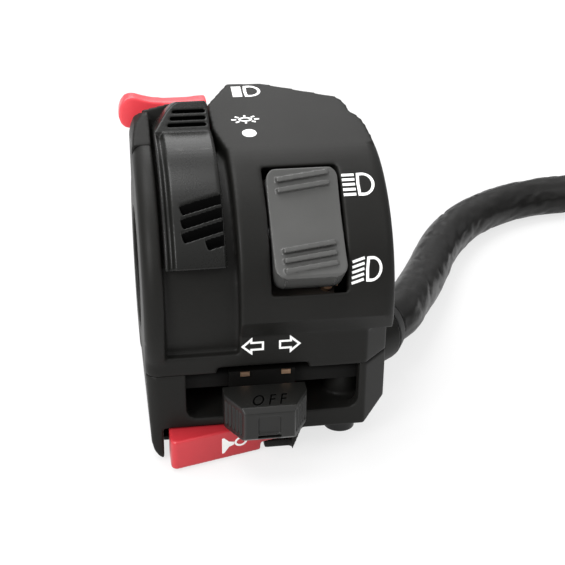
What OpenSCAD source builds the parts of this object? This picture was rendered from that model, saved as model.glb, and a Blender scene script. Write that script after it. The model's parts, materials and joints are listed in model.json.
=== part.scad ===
// Left-hand handlebar switch cluster. X runs along the bar, -Y faces the rider, +Z is up.
// The origin is on the bar's axis.

/* [Handlebar clamp] */
// Diameter of the handlebar
bar_d = 22.2; // [21.6:0.1:22.8]
// Radial gap between the bar and the clamp
clamp_gap = 0.05; // [0.02:0.01:0.09]
// Thickness of the saddle round the bar
saddle_wall = 2; // [1.6:0.1:2.1]

/* [Housing] */
// Radius of the main body about the bar
body_r = 24; // [23.5:0.5:27]
// Reach of the housing to the left of the origin
left_len = 22.6; // [22:0.1:25]
// Reach of the housing to the right of the origin
right_len = 20.2; // [19.5:0.1:23]
// Thickness of the moulded walls
wall = 2.4; // [2:0.1:2.6]
// Distance of the front face from the bar's axis
front_depth = 22; // [21.5:0.5:24]
// Drop of the parting plane below the bar's axis
part_drop = 10.5; // [9.5:0.5:10.5]
// Drop of the arrow panel's top edge below the bar's axis
chin_drop = 3.6; // [2:0.2:5]
// Slanted corner of the front face at the right
corner_cut = 4.5; // [3:0.5:6]
// Rounding of the left and right ends
end_round = 2.2; // [1:0.2:3]
// Radius of the rear shell
rear_r = 18.5; // [18:0.5:20]

/* [Deck] */
// Upward tilt of the deck towards the back
deck_tilt = 9.5; // [6:0.5:12]
// Distance of the deck's back edge from the bar's axis
deck_back = 19; // [18:0.5:22]
// Height of the deck's lower edge above the bar's axis
deck_floor = 18.8; // [18.8:0.1:19.4]

/* [Tray] */
// Drop of the turn switch chamber's floor
chamber_drop = 19.4; // [19:0.1:20]
// Drop of the tray's underside at the right
tray_drop = 23; // [22.5:0.1:24]
// Drop of the foot that the cluster stands on
foot_drop = 27.5; // [27.5:0.5:30]
// Reach of the tray behind the bar's axis
tray_back = 12; // [11:0.5:15]
// Left side of the notch for the turn knob
notch_left = 15.8; // [14.8:0.1:16]
// Right side of the notch for the turn knob
notch_right = 14.5; // [13:0.1:15]

/* [Light lever] */
// Width of the flange left of the lever
flange_w = 3.5; // [3.3:0.1:4]
// Width of the lever's recess
recess_w = 12.6; // [12.5:0.1:13]
// Depth of the lever's recess below the main body
recess_depth = 2.5; // [2.3:0.1:2.7]
// Width of the lever
lever_w = 10.2; // [9.8:0.1:10.3]
// Thickness of the lever
lever_t = 3.4; // [3:0.1:4]
// Angle of the lever's lower end above the front
lever_low = 24; // [22:1:28]
// Angle of the lever's upper end above the front
lever_high = 110; // [107:1:110]
// Travel of the lever, downwards
lever_travel = 30; // [24:1:30]

/* [Dip rocker] */
// Width of the rocker
rocker_w = 12.2; // [11:0.1:13]
// Place of the rocker's left side
rocker_x = -0.8; // [-1:0.1:0]
// Radius of the rocker's rounded ends about its pins
rocker_swing = 11; // [10.8:0.1:11.4]
// Angle of the rocker's middle above the front
rocker_angle = 39.2; // [38:0.2:40]
// Height of the rocker's face above its pins
rocker_face = 5.8; // [5.2:0.1:6.2]
// Tilt of the rocker either way
rocker_tilt = 6; // [4:0.5:7]

/* [Turn switch] */
// Place of the knob's middle at rest
knob_x = -2.4; // [-3:0.1:-2]
// Width of the knob at its back
knob_back_w = 14.4; // [13.6:0.1:15]
// Width of the knob at its front
knob_front_w = 8.5; // [7.6:0.1:9]
// Reach of the knob in front of the housing
knob_len = 8; // [7:0.1:9]
// Height of the knob
knob_h = 5.8; // [5.6:0.1:6.3]
// Travel of the knob either way
knob_travel = 3.8; // [3:0.1:4]
// Travel of the knob when it is pushed in
push_travel = 1.6; // [1:0.1:1.8]

/* [Horn button] */
// Reach of the button's left end in front of the housing
horn_out = 4.3; // [3.5:0.1:5]
// Gap between the button and the ground
horn_clear = 0.5; // [0.4:0.1:1]
// Swing of the button
horn_swing = 8; // [5:0.5:8]

/* [Pass trigger] */
// Reach of the trigger past the housing's left end
pass_reach = 1.6; // [1:0.1:3]
// Thickness of the trigger
pass_t = 3.2; // [3:0.1:3.4]
// Swing of the trigger
pass_swing = 5; // [3:0.5:5]

/* [Harness] */
// Diameter of the harness sleeve
sleeve_d = 9.6; // [9:0.1:9.8]
// Outer radius of the loop that the harness is put away in
coil_r = 57; // [55:0.5:60]
// Inward step of the loop over one turn
coil_step = 11; // [10.4:0.1:12]
// Turns of the loop
coil_turns = 1.15; // [1.1:0.01:1.18]
// Thickness of the tie
tie_t = 0.8; // [0.6:0.1:1.2]

/* [Hidden] */
$fn = 96;

// Running, seating and pressed gaps
gap = 0.4;
seat = 0.05;
press = 0.02;
cut = 1;
big = 60;

// Finishes
shell_black = [0.16, 0.16, 0.15];
part_black = [0.11, 0.11, 0.11];
rocker_grey = [0.36, 0.36, 0.35];
signal_red = [0.82, 0.18, 0.2];
copper = [0.78, 0.5, 0.32];
steel = [0.7, 0.71, 0.73];
board_brown = [0.2, 0.15, 0.1];
nylon_white = [0.88, 0.87, 0.82];

// Housing
bore_r = bar_d / 2 + clamp_gap;
saddle_r = bore_r + saddle_wall;
left_x = -left_len;
right_x = right_len;
inner_left = left_x + wall;
inner_right = right_x - wall;
main_r = body_r - wall;
recess_r = body_r - recess_depth;
recess_inner_r = recess_r - 2;
flange_r = body_r - 0.5;
recess_x = left_x + flange_w;
wall_x = recess_x + recess_w;
ledge_drop = 7;
inner_front = front_depth - wall;

// Deck
deck_x = wall_x - 1.7;
wall_round = 0.6;
deck_from_y = -body_r * sin(deck_tilt);
deck_from_z = body_r * cos(deck_tilt);
shelf_back = deck_back - 1.6;
flank_back = 9.6;
flank_rise = 3;
end_wall_back = 11.2;
end_wall_angle = lever_high + 2;
end_wall_top = body_r + 5;
end_wall_low = 1.1;

// Lever and its switch
lever_x = recess_x + gap;
lever_end = lever_x + lever_w;
groove_from = 11.2;
groove_pitch = 5.4;
groove_slant = 15;
groove_depth = 1.5;
groove_short = 3.4;
groove_w = lever_w - 2.8;
slot_slope = 149.3 - lever_high;
lever_in = recess_r + 0.5;
lever_out = lever_in + lever_t;
stem_w = 2;
stem_x = lever_x + 4.3;
stem_half = 3.7;
stem_angle = 64;
slider_low = 49;
slider_high = 72;
light_room = recess_inner_r - saddle_r;
slider_in = saddle_r + 0.37 * light_room;
slider_out = recess_inner_r - 0.11 * light_room;
stem_depth = 0.22 * light_room;
slider_x = inner_left + 1;
slider_end = lever_end - 0.9;
detent_angle = 53.5;
detent_r = (slider_in + slider_out) / 2;
ball_r = 0.2 * light_room;
base_top = saddle_r + 0.2 * light_room;
contact_top = base_top + 0.04 * light_room;
wiper_t = 0.06 * light_room;

// Rocker and its switch
pivot_r = saddle_r + 0.54 * (body_r - saddle_r);
rocker_depth = body_r - pivot_r;
dip_contact_r = 1;
dip_base_half = 11;
rocker_end = rocker_x + rocker_w;
rocker_mid_x = rocker_x + rocker_w / 2;
rocker_half = rocker_swing - 1.2;
rocker_corner = 2;
rocker_ribs = [-8.1, -6.3, -4.5, 6.2, 8.1];
rib_half = rocker_w / 2 - 1.6;
rib_w = 0.9;
dip_pin_r = 1.2;
ear_t = 1.8;
ear_x = rocker_x - gap - ear_t;
ear_end = rocker_end + gap + ear_t;
plunger_r = 1.5;
dip_base_top = saddle_r + 1.2;
dip_contact_u = 8.6;
dip_strip_x = rocker_end - 3.4;
dip_strip_w = 2.4;

// Turn switch
knob_back = front_depth + gap;
knob_tip = front_depth + gap + knob_len;
knob_top = -(chamber_drop - 6.4);
knob_low = knob_top - knob_h;
knob_foot = knob_low - 0.7;
plate_front = knob_back - push_travel - gap;
plate_t = 1.3;
turn_base_front = plate_front - plate_t - gap;
turn_base_back = 9;
turn_base_top = -(part_drop + 1.5);
turn_base_low = -(chamber_drop - 4.3);
tongue_top = turn_base_low - 0.7;
tongue_low = -(chamber_drop - gap);
tongue_back = 8;
tongue_half = 4;
peg_half = 2;
peg_low = tongue_low + 0.7;
peg_top = peg_low + 1.9;
peg_end = 14;
turn_ball_r = 1.25;
turn_ball_y = -10.6;
turn_contact_y = -15;
turn_contact_r = 1.1;
leaf_shift = 0.6;
leaf_half = 3.6;

// Horn
horn_top = -(chamber_drop + 1.6 + 0.3);
horn_low = -(foot_drop - horn_clear);
horn_left = left_x + 3.6;
horn_room = left_x + 2.7;
horn_room_end = 2.8;
horn_room_top = -(chamber_drop + 1.6);
horn_room_back = -9.5;
foot_plate_front = -16.2;
foot_plate_top = -(foot_drop - 1.2);
horn_room_mid = (horn_room_top + foot_plate_top) / 2;
horn_room_h = horn_room_top - foot_plate_top;
horn_contact_x = 10.5;
horn_contact_r = 0.7;
horn_pin_r = 1;
horn_lug_top = -(foot_drop - 1.6);
horn_axis = [0.2, -front_depth + 2.8];
foot_end = 3;

// Pass trigger
pass_axis = [3.2, 13.6];
pass_pin_r = 1;
pass_hub_r = 2.2;
pass_front = 13.6;
pass_arm_t = pass_t - 0.8;
pass_rib_back = pass_front - 4.4;
pass_rib_t = 1.6;
pass_rib_end = 9;
pass_contact_x = -2.8;
pass_low = deck_floor + 1;
pass_room_top = deck_from_z - wall + (pass_rib_back - deck_from_y) * tan(deck_tilt);
pass_arm_h = 0.82 * (pass_room_top - pass_low);
pass_high = pass_low + pass_arm_h;
pass_tip = left_x - pass_reach;
pass_end = deck_x + 0.15;

// Screws
screw_r = 2;
screw_head_r = 3.4;
upper_screw_z = saddle_r + 1.6;
upper_screws = [[left_x + 7.2, 3.2], [right_x - 5.6, 7]];
upper_seat_y = 5;
boss_r = 3.4;
lower_screw_at = [right_x - 7.4, -front_depth + 7.4];
lower_column_r = 3.1;
lower_boss_top = -3;
lower_head_low = -foot_drop;

// Outlet and harness
sleeve_r = sleeve_d / 2;
outlet_dir = [0.8, 0.6, 0];
outlet_at = [right_x, 1.4, -(chamber_drop - 0.8)];
grommet_r = sleeve_r + 0.7;
outlet_r = grommet_r + seat;
outlet_boss_r = outlet_r + 0.8;
outlet_len = 4.2;
ground = -foot_drop;
lie_z = ground + sleeve_r;
tie_gap = 0.5;
coil_z = lie_z + tie_t + tie_gap;
sleeve_in = outlet_at - 4 * outlet_dir;
sleeve_out = outlet_at + 8 * outlet_dir;
loop_back = 72;
coil_at = [131, loop_back - coil_r, coil_z];

// The harness lies on the ground and runs off to its loop
sleeve_route = [sleeve_in, sleeve_out, [29.4, 9.4, -18.9], [32.8, 15.4, -19.6], [37, 24, -20.8], [41.5,
  33.4, -21.8],
  [46, 42.8, -22.5], [51, 51.2, lie_z], [57.5, 59, lie_z], [66, 65.6, lie_z], [76, 69.8, lie_z],
  [88, 71.6, lie_z], [101, loop_back, coil_z - 0.9], [116, loop_back, coil_z], [131, loop_back, coil_z]];

// Shared shapes
function polar(r, a) = [-r * cos(a), r * sin(a)];
function unit(v) = v / norm(v);

module along_x(x0, x1) translate([x0, 0, 0]) rotate([90, 0, 90]) linear_extrude(x1 - x0) children();
module along_y(y0, y1) translate([0, y1, 0]) rotate([90, 0, 0]) linear_extrude(y1 - y0) children();
module along_z(z0, z1) translate([0, 0, z0]) linear_extrude(z1 - z0) children();
module rod_x(x0, x1, r) translate([x0, 0, 0]) rotate([0, 90, 0]) cylinder(r = r, h = x1 - x0);
module rod_y(y0, y1, r) translate([0, y0, 0]) rotate([-90, 0, 0]) cylinder(r = r, h = y1 - y0);
module rod_z(z0, z1, r) translate([0, 0, z0]) cylinder(r = r, h = z1 - z0);
module box(low, high) translate(low) cube(high - low);
module at_angle(a) rotate([-a, 0, 0]) children();

// A band about the bar's axis, between two angles above the front
module band(r0, r1, a0, a1) intersection() {
  difference() {
    circle(r1);
    circle(r0);
  }
  polygon([[0, 0], polar(2 * r1, a0), polar(2 * r1, (a0 + a1) / 2), polar(2 * r1, a1)]);
}

// A drum about the bar's axis with rounded ends
module drum(x0, x1, r, round0, round1) rotate([0, 90, 0]) rotate_extrude() difference() {
  translate([0, x0]) square([r, x1 - x0]);
  if (round0 > 0) drum_corner(r, x0, round0, 1);
  if (round1 > 0) drum_corner(r, x1, round1, -1);
}

module drum_corner(r, x, f, side) difference() {
  translate([r - f, side > 0 ? x - cut : x - f]) square([f + cut, f + cut]);
  translate([r - f, x + side * f]) circle(f);
}

// A tube swept along a path of points
function path_dir(path, i) = let (n = len(path) - 1)
  unit(path[min(i + 1, n)] - path[max(i - 1, 0)]);
function tube_ring(p, t, r, sides) = let (side = unit(cross(t, [0, 0, 1])), up = cross(side, t))
  [for (k = [0:sides - 1]) p + r * (cos(360 * k / sides) * side + sin(360 * k / sides) * up)];
function tube_side(i, k, sides) = let (a = i * sides + k, b = i * sides + (k + 1) % sides)
  [[a, b, a + sides], [b, b + sides, a + sides]];

module tube(path, r, sides) {
  last = len(path) - 1;
  rings = [for (i = [0:last], p = tube_ring(path[i], path_dir(path, i), r, sides)) p];
  sheet = [for (i = [0:last - 1], k = [0:sides - 1], f = tube_side(i, k, sides)) f];
  start = [for (k = [1:sides - 2]) [0, k + 1, k]];
  end = [for (k = [1:sides - 2]) last * sides * [1, 1, 1] + [0, k, k + 1]];
  polyhedron(rings, concat(sheet, start, end));
}

// A helical spring along Z
function helix(r, length, turns) = [for (i = [0:8 * turns])
  [r * cos(45 * i), r * sin(45 * i), length * i / (8 * turns)]];

module spring(r, wire, length, turns)
  translate([0, 0, wire / 2]) tube(helix(r, length - wire, turns), wire / 2, 6);

// Front housing
module front_field() translate([-big, -part_drop]) square([big, big]);

module skirt_plan() difference() {
  translate([left_x, -front_depth]) square([right_x - left_x, front_depth]);
  polygon([[right_x - corner_cut, -front_depth - cut], [right_x - corner_cut, -front_depth],
    [right_x, -front_depth + corner_cut], [right_x + cut, -front_depth + corner_cut],
    [right_x + cut, -front_depth - cut]]);
  difference() {
    translate([left_x - cut, -front_depth - cut]) square([end_round + cut, end_round + cut]);
    translate([left_x + end_round, -front_depth + end_round]) circle(end_round);
  }
}

module chin_cut() {
  along_x(wall_x, right_x + cut) polygon([[-body_r - cut, 0], [-body_r, 0], [-front_depth, -chin_drop],
    [-front_depth, -part_drop - cut], [-body_r - cut, -part_drop - cut]]);
  along_z(-part_drop - cut, -chin_drop) difference() {
    translate([wall_x, -big]) square([big, big]);
    skirt_plan();
  }
}

module front_outer() {
  intersection() {
    along_x(left_x, right_x) front_field();
    difference() {
      union() {
        drum(wall_x, right_x, body_r, wall_round, end_round);
        drum(left_x + end_round, wall_x + cut, recess_r, 0, 0);
        drum(left_x, recess_x, flange_r, end_round, 0.4);
      }
      chin_cut();
    }
  }
  along_z(-part_drop, -ledge_drop) skirt_plan();
  intersection() {
    along_z(-part_drop, -chin_drop) skirt_plan();
    along_x(wall_x, right_x) front_field();
  }
}

module deck_plan(inset) polygon([[wall_x + inset, -8], [wall_x + inset, deck_from_y], [deck_x + inset, 3],
  [deck_x + inset, 11.6 - inset / 3], [deck_x + 4.3 + inset * 0.7, deck_back - inset * 0.66],
  [deck_x + 10.4 - inset * 0.2, deck_back - 0.2 - inset * 0.66],
  [deck_x + 13.4 - inset * 0.3, deck_back - 1.4 - inset * 0.66],
  [right_x - 4.4 - inset * 0.6, 12.7 - inset * 0.8], [right_x - 3.6 - inset * 0.7, 11.4 - inset * 0.8],
  [right_x - 3.1 - inset * 0.9, 9.6 - inset * 0.6], [right_x - 2.9 - inset, 7.4 - inset * 0.3],
  [right_x - 2 - inset, 6 - inset * 0.3], [right_x - 1.3 - inset, 4.4 - inset * 0.3],
  [right_x - 0.9 - inset, 2], [right_x - 0.7 - inset, -1], [right_x - 0.7 - inset, -8]]);

module deck_profile(drop, low) polygon([[deck_from_y, low], [deck_from_y, deck_from_z - drop],
  [deck_back + cut, deck_from_z - drop + (deck_back + cut - deck_from_y) * tan(deck_tilt)],
  [deck_back + cut, low]]);

module deck() intersection() {
  along_x(deck_x, right_x) deck_profile(0, deck_floor);
  along_z(deck_floor, big) deck_plan(0);
}

module deck_room() intersection() {
  along_x(deck_x, right_x) intersection() {
    deck_profile(wall, deck_floor - cut);
    square([big, big]);
  }
  difference() {
    along_z(0, big) deck_plan(wall);
    box([deck_x, pass_rib_back - pass_rib_t, 0], [pass_rib_end, pass_rib_back, big]);
  }
}

module front_room() {
  along_x(inner_left, wall_x + wall) front_room_profile(recess_inner_r);
  along_x(wall_x + wall - cut, inner_right) front_room_profile(main_r);
}

module front_room_profile(r) intersection() {
  difference() {
    circle(r);
    circle(saddle_r);
  }
  translate([-big, -part_drop - cut]) square([big + cut, big]);
  union() {
    translate([-inner_front, -big]) square([2 * big, 2 * big]);
    translate([-big, 0]) square([2 * big, big]);
  }
}

module pass_window() box([deck_x - cut, pass_front - 2.2, pass_low - gap],
  [deck_x + wall + 4, pass_front + pass_t + gap, pass_high + gap]);

module upper_boss(x, depth) intersection() {
  translate([x, 0, upper_screw_z]) rod_y(-depth, 0, boss_r);
  difference() {
    along_x(left_x, right_x) front_field();
    rod_x(left_x, right_x, saddle_r);
  }
}

module lower_boss() intersection() {
  translate([lower_screw_at[0], lower_screw_at[1], 0]) rod_z(-part_drop, lower_boss_top, boss_r);
  rod_x(left_x, right_x, main_r + cut);
}

module rocker_ears() at_angle(rocker_angle) translate([0, -pivot_r, 0]) {
  for (x = [ear_x, ear_end - ear_t])
    along_x(x, x + ear_t) translate([-rocker_depth + 0.5, -3]) square([rocker_depth + 2, 6]);
}

module rocker_window() at_angle(rocker_angle) translate([0, -pivot_r, 0])
  along_x(rocker_x - gap, rocker_end + gap) intersection() {
    circle(rocker_swing + 0.3);
    translate([-big, -big]) square([big + 2.6, 2 * big]);
  }

module light_slot() along_x(stem_x - 0.6, stem_x + stem_w + 0.6)
  band(recess_inner_r - cut, recess_r + cut, stem_angle - stem_half - lever_travel - 3,
    stem_angle + stem_half + 3);

module front_housing() color(shell_black) difference() {
  union() {
    difference() {
      union() {
        front_outer();
        deck();
      }
      front_room();
      deck_room();
    }
    for (screw = upper_screws) upper_boss(screw[0], screw[1]);
    lower_boss();
    rocker_ears();
  }
  rod_x(left_x - cut, right_x + cut, bore_r);
  pass_window();
  rocker_window();
  light_slot();
  at_angle(rocker_angle) translate([0, -pivot_r, 0]) rod_x(ear_x - cut, ear_end + cut, dip_pin_r + press);
  for (screw = upper_screws)
    translate([screw[0], 0, upper_screw_z]) rod_y(-screw[1] - seat, cut, screw_r + press);
  translate([lower_screw_at[0], lower_screw_at[1], 0]) rod_z(-part_drop - cut, lower_boss_top - 1,
    screw_r + press);
  translate([pass_axis[0], pass_axis[1], 0]) rod_z(deck_floor, pass_high + 1.6, pass_pin_r + press);
  for (step = [0:2]) at_angle(detent_angle - step * lever_travel / 2)
    translate([inner_left + ball_r - 0.5, -detent_r, 0]) sphere(ball_r + 0.4);
  box([knob_x - 8, -front_depth - cut, -part_drop - cut], [knob_x + 8, -inner_front + cut, -part_drop + 1]);
}

// Rear housing
module tray_profile() difference() {
  polygon([[left_x, -part_drop], [left_x + 0.7, -foot_drop], [foot_end, -foot_drop], [foot_end + 1.6,
    -tray_drop],
    [right_x - 4.4, -tray_drop], [right_x, -tray_drop + 2.8], [right_x, -part_drop]]);
  difference() {
    translate([left_x - cut, -foot_drop - cut]) square([3.2 + 0.7 + cut, 3.2 + cut]);
    translate([left_x + 3.2 + 0.7, -foot_drop + 3.2]) circle(3.2);
  }
}

module tray() intersection() {
  along_y(-front_depth, tray_back) tray_profile();
  along_z(-foot_drop, -part_drop) {
    skirt_plan();
    translate([left_x, -cut]) square([right_x - left_x, tray_back + cut]);
  }
}

module tray_room() difference() {
  box([inner_left, -inner_front, -chamber_drop], [inner_right, tray_back - wall, -part_drop + cut]);
  rod_x(left_x, right_x, saddle_r);
}

module rear_shell() {
  intersection() {
    drum(left_x, right_x, rear_r, end_round, end_round);
    box([left_x, 0, -big], [right_x, big, big]);
  }
  // the shelf under the deck
  along_z(0, deck_floor - 0.1) polygon([[deck_x, 0], [right_x - 1.4, 0], [right_x - 1.6, 4], [right_x - 3.2, 7],
    [right_x - 3.4, 8], [deck_x, 8]]);
  along_z(6, deck_floor - 0.1) polygon([[deck_x + 3.6, 0], [deck_x + 3.6, shelf_back], [deck_x + 11.5,
    shelf_back],
    [right_x - 5.4, 12], [right_x - 5.4, 0]]);
  // the flank behind the flange
  difference() {
    along_x(left_x, recess_x) polygon([[0, 0], [0, flange_r], [flank_back - 1.5, flange_r + flank_rise],
      [flank_back, flange_r + flank_rise - 0.7], [flank_back, 10]]);
    along_y(-cut, big) polygon([[left_x - cut, flange_r - 3], [left_x, flange_r - 1.2], [left_x + 0.3,
      flange_r + 0.4],
      [left_x + 0.9, flange_r + flank_rise - 1.2], [left_x + 2.2, flange_r + flank_rise - 0.4],
      [recess_x, flange_r + flank_rise], [left_x - cut, big]]);
  }
  // the end wall of the lever's recess
  difference() {
    along_x(recess_x - cut, deck_x - gap) polygon([[0, saddle_r], polar(recess_r, end_wall_angle),
      polar(end_wall_top, end_wall_angle), [end_wall_back, end_wall_top * sin(end_wall_angle)],
      [end_wall_back, saddle_r]]);
    translate([0, 0, end_wall_top * sin(end_wall_angle)]) along_y(0, big)
      polygon([[left_x, -end_wall_low - 0.2], [recess_x - cut, -end_wall_low], [lever_x + 3.6, 0], [left_x,
        cut]]);
  }
  // the floor of the recess behind the parting plane
  intersection() {
    drum(recess_x - cut, deck_x - gap, recess_r, 0, 0);
    box([recess_x - cut, 0, 0], [deck_x - gap, flank_back, big]);
  }
}

module rear_room() difference() {
  intersection() {
    rod_x(inner_left, inner_right, rear_r - wall);
    box([left_x, 0, -big], [right_x, big, big]);
  }
  rod_x(left_x, right_x, saddle_r);
  for (screw = upper_screws) box([screw[0] - boss_r, 0, 0], [screw[0] + boss_r, big, big]);
}

module notch() along_y(-front_depth - cut, -inner_front + cut) difference() {
  translate([-notch_left, -chamber_drop]) square([notch_left + notch_right, chamber_drop]);
  for (side = [-1, 1]) {
    corner = side < 0 ? -notch_left : notch_right;
    difference() {
      translate([side < 0 ? corner - cut : corner - 2, -chamber_drop - cut]) square([2 + cut, 2 + cut]);
      translate([corner - side * 2, -chamber_drop + 2]) circle(2);
    }
  }
}

module horn_room() {
  box([horn_room, -big, -foot_drop - cut], [horn_room_end, foot_plate_front, horn_room_top]);
  box([horn_room, foot_plate_front - cut, foot_plate_top], [horn_room_end, horn_room_back, horn_room_top]);
}

module horn_lug() box([horn_axis[0] - 2.2, -front_depth + 1.1, -foot_drop],
  [foot_end - 0.6, foot_plate_front + cut, horn_lug_top]);

// The column that carries the turn switch's plate and the lower screw
module lower_column() translate([lower_screw_at[0], lower_screw_at[1], 0])
  rod_z(-chamber_drop - cut, turn_base_low - seat, lower_column_r);

module on_outlet(s) translate(outlet_at + s * outlet_dir)
  rotate([0, 90, atan2(outlet_dir[1], outlet_dir[0])]) children();

module outlet_boss() intersection() {
  on_outlet(-7) cylinder(r = outlet_boss_r, h = 7 + outlet_len);
  box([0, -big, -big], [big, big, -part_drop]);
}

module rear_housing() color(shell_black) difference() {
  union() {
    difference() {
      union() {
        tray();
        rear_shell();
        outlet_boss();
      }
      rear_room();
      tray_room();
      horn_room();
    }
    horn_lug();
    lower_column();
  }
  rod_x(left_x - cut, right_x + cut, bore_r);
  notch();
  on_outlet(-6) cylinder(r = outlet_r, h = 20);
  on_outlet(outlet_len) cylinder(r = outlet_boss_r + gap, h = 20);
  for (screw = upper_screws) translate([screw[0], 0, upper_screw_z]) {
    rod_y(-cut, big, screw_r + 0.2);
    rod_y(upper_seat_y, big, screw_head_r + 0.3);
  }
  translate([lower_screw_at[0], lower_screw_at[1], 0]) rod_z(-foot_drop - cut, -part_drop + cut, screw_r + 0.2);
  translate([horn_axis[0], horn_axis[1], 0]) rod_z(-foot_drop + 0.5, horn_room_top + 0.9, horn_pin_r + press);
  translate([pass_axis[0], pass_axis[1], 0]) rod_z(deck_floor - 3, deck_floor + cut, pass_pin_r + press);
}

// Fasteners
module screw_y(from, to) {
  rod_y(from, to, screw_r);
  difference() {
    rod_y(to, to + 2.6, screw_head_r);
    for (a = [0, 90]) translate([0, to + 1.4, 0]) rotate([0, a, 0]) translate([-2.2, 0, -0.4]) cube([4.4,
      2, 0.8]);
  }
}

module clamp_screws() color(steel) for (screw = upper_screws)
  translate([screw[0], 0, upper_screw_z]) screw_y(-screw[1] + 0.2, upper_seat_y);

module lower_screw() color(steel) translate([lower_screw_at[0], lower_screw_at[1], 0]) {
  rod_z(-tray_drop, lower_boss_top - 1.2, screw_r);
  rod_z(-tray_drop - 1, -tray_drop, screw_head_r + 0.6);
  difference() {
    rod_z(lower_head_low, -tray_drop - 1, screw_head_r - 0.6);
    for (a = [0, 90]) rotate([0, 0, a]) translate([-2, -0.4, lower_head_low - cut]) cube([4, 0.8, cut + 1.4]);
  }
}

// Light switch
// The lever's outline has a rim along its left edge
module lever_profile() polygon([[lever_in, lever_x], [lever_out - 0.5, lever_x], [lever_out - 0.2,
  lever_x + 0.2],
  [lever_out - 0.3, lever_x + 0.5], [lever_out - 0.8, lever_x + 0.8], [lever_out - 0.7, lever_x + 1.2],
  [lever_out, lever_x + 1.7], [lever_out, lever_end - 0.5], [lever_out - 0.5, lever_end], [lever_in,
    lever_end]]);

module lever_tab() difference() {
  intersection() {
    rotate([0, 90, 0]) rotate_extrude() polygon([[0, lever_x], [lever_out, lever_x + 0.1],
      [lever_out + 0.6, lever_x + 0.7], [lever_out + 2.8, lever_x + 2.5], [lever_out + 3.6, lever_x + 3.4],
      [lever_out + 4.5, lever_x + 4.9], [lever_out + 4.5, lever_end - 1], [lever_out + 3.6, lever_end - 0.3],
      [0, lever_end - 0.3]]);
    along_x(lever_x, lever_end) tab_profile();
  }
  for (k = [0:2]) along_x(lever_x + 2.6 + 0.5 * k, lever_end - 0.9)
    translate(polar(lever_out + 1 + 0.95 * k, lever_high - 16.9 + 2 * k)) rotate(slot_slope)
      square([0.7, 2.6], center = true);
}

module tab_profile() polygon([polar(lever_in + 0.2, lever_high - 22), polar(lever_out, lever_high - 19),
  polar(lever_out + 4.3, lever_high - 10), polar(lever_out + 3.9, lever_high - 5), polar(lever_in + 0.2,
    lever_high)]);

module lever_groove(k) at_angle(lever_low + groove_from + groove_pitch * k) translate([lever_end,
  -lever_out, 0])
  rotate([0, -groove_slant, 0]) along_x(-(k == 0 ? groove_short : groove_w), 2)
    polygon([[-0.5, 1.75], [groove_depth, -1.05], [-0.5, -1.05]]);

module light_lever() color(part_black) {
  difference() {
    intersection() {
      rotate([0, 90, 0]) rotate_extrude() lever_profile();
      along_x(left_x, right_x) band(saddle_r, big, lever_low, lever_high);
    }
    for (k = [0:3]) lever_groove(k);
  }
  lever_tab();
  along_x(stem_x, stem_x + stem_w)
    band(slider_out - stem_depth, lever_in + 0.5, stem_angle - stem_half, stem_angle + stem_half);
}

module light_slider() color(nylon_white) difference() {
  along_x(slider_x, slider_end) band(slider_in, slider_out, slider_low, slider_high);
  along_x(stem_x - press, stem_x + stem_w + press)
    band(slider_out - stem_depth - press, slider_out + cut, stem_angle - stem_half - 0.1,
      stem_angle + stem_half + 0.1);
  at_angle(detent_angle) translate([0, -detent_r, 0]) rod_x(slider_x - cut, slider_x + 7, ball_r + 0.1);
}

module light_wiper() color(copper) along_x(slider_x + 2, slider_end - 0.4)
  band(slider_in - seat - wiper_t, slider_in - seat, slider_low + 2, slider_high - 2);

module light_ball() color(steel) at_angle(detent_angle)
  translate([inner_left + ball_r + 0.3, -detent_r, 0]) sphere(ball_r);

module light_spring() color(steel) at_angle(detent_angle)
  translate([inner_left + 2 * ball_r + 0.4, -detent_r, 0]) rotate([0, 90, 0])
    spring(0.73 * ball_r, 0.3, slider_x + 6.9 - inner_left - 2 * ball_r - 0.4, 6);

module light_contact_at(step, x) at_angle(stem_angle - 3 - step * lever_travel / 2) translate([x, 0, 0])
  children();

module light_base() color(board_brown) difference() {
  along_x(slider_x + 1.2, slider_end) band(saddle_r + seat, base_top, 10, slider_high);
  for (step = [0:2], x = [slider_x + 3.2, slider_end - 1.8])
    light_contact_at(step, x) rod_y(-base_top - cut, -saddle_r + cut, 1 + press);
}

module light_contacts() color(copper) for (step = [0:2], x = [slider_x + 3.2, slider_end - 1.8])
  light_contact_at(step, x) rod_y(-contact_top, -saddle_r - 0.2, 1);

// Dip switch
module on_pivot() at_angle(rocker_angle) translate([0, -pivot_r, 0]) rotate([-rocker_tilt, 0, 0]) children();

module rocker_profile() {
  difference() {
    intersection() {
      circle(rocker_swing);
      translate([-rocker_face, -big]) square([rocker_face + 0.6, 2 * big]);
    }
    translate([-rocker_face - 58.9, 0]) circle(60);
  }
  circle(2.8);
}

module rocker_plan() translate([rocker_mid_x, 0]) {
  for (x = [-1, 1], u = [-1, 1])
    translate([x * (rocker_w / 2 - rocker_corner), u * (rocker_half - rocker_corner)]) circle(rocker_corner);
  square([rocker_w, 2 * (rocker_half - rocker_corner)], center = true);
  square([rocker_w - 2 * rocker_corner, 2 * rocker_half], center = true);
}

module dip_rocker() color(rocker_grey) on_pivot() difference() {
  union() {
    intersection() {
      along_x(rocker_x, rocker_end) rocker_profile();
      along_y(-big, big) rocker_plan();
    }
    for (u = rocker_ribs) translate([rocker_mid_x, -rocker_face, u]) rotate([0, -7, 0])
      box([-rib_half, -0.1, -rib_w / 2], [rib_half, 1.5, rib_w / 2]);
  }
  for (x = [rocker_x - cut, rocker_end - 3]) rod_x(x, x + 3 + cut, dip_pin_r + seat);
  translate([rocker_mid_x, 0, 0]) rod_y(-3.4, big, plunger_r + 0.1);
}

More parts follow.
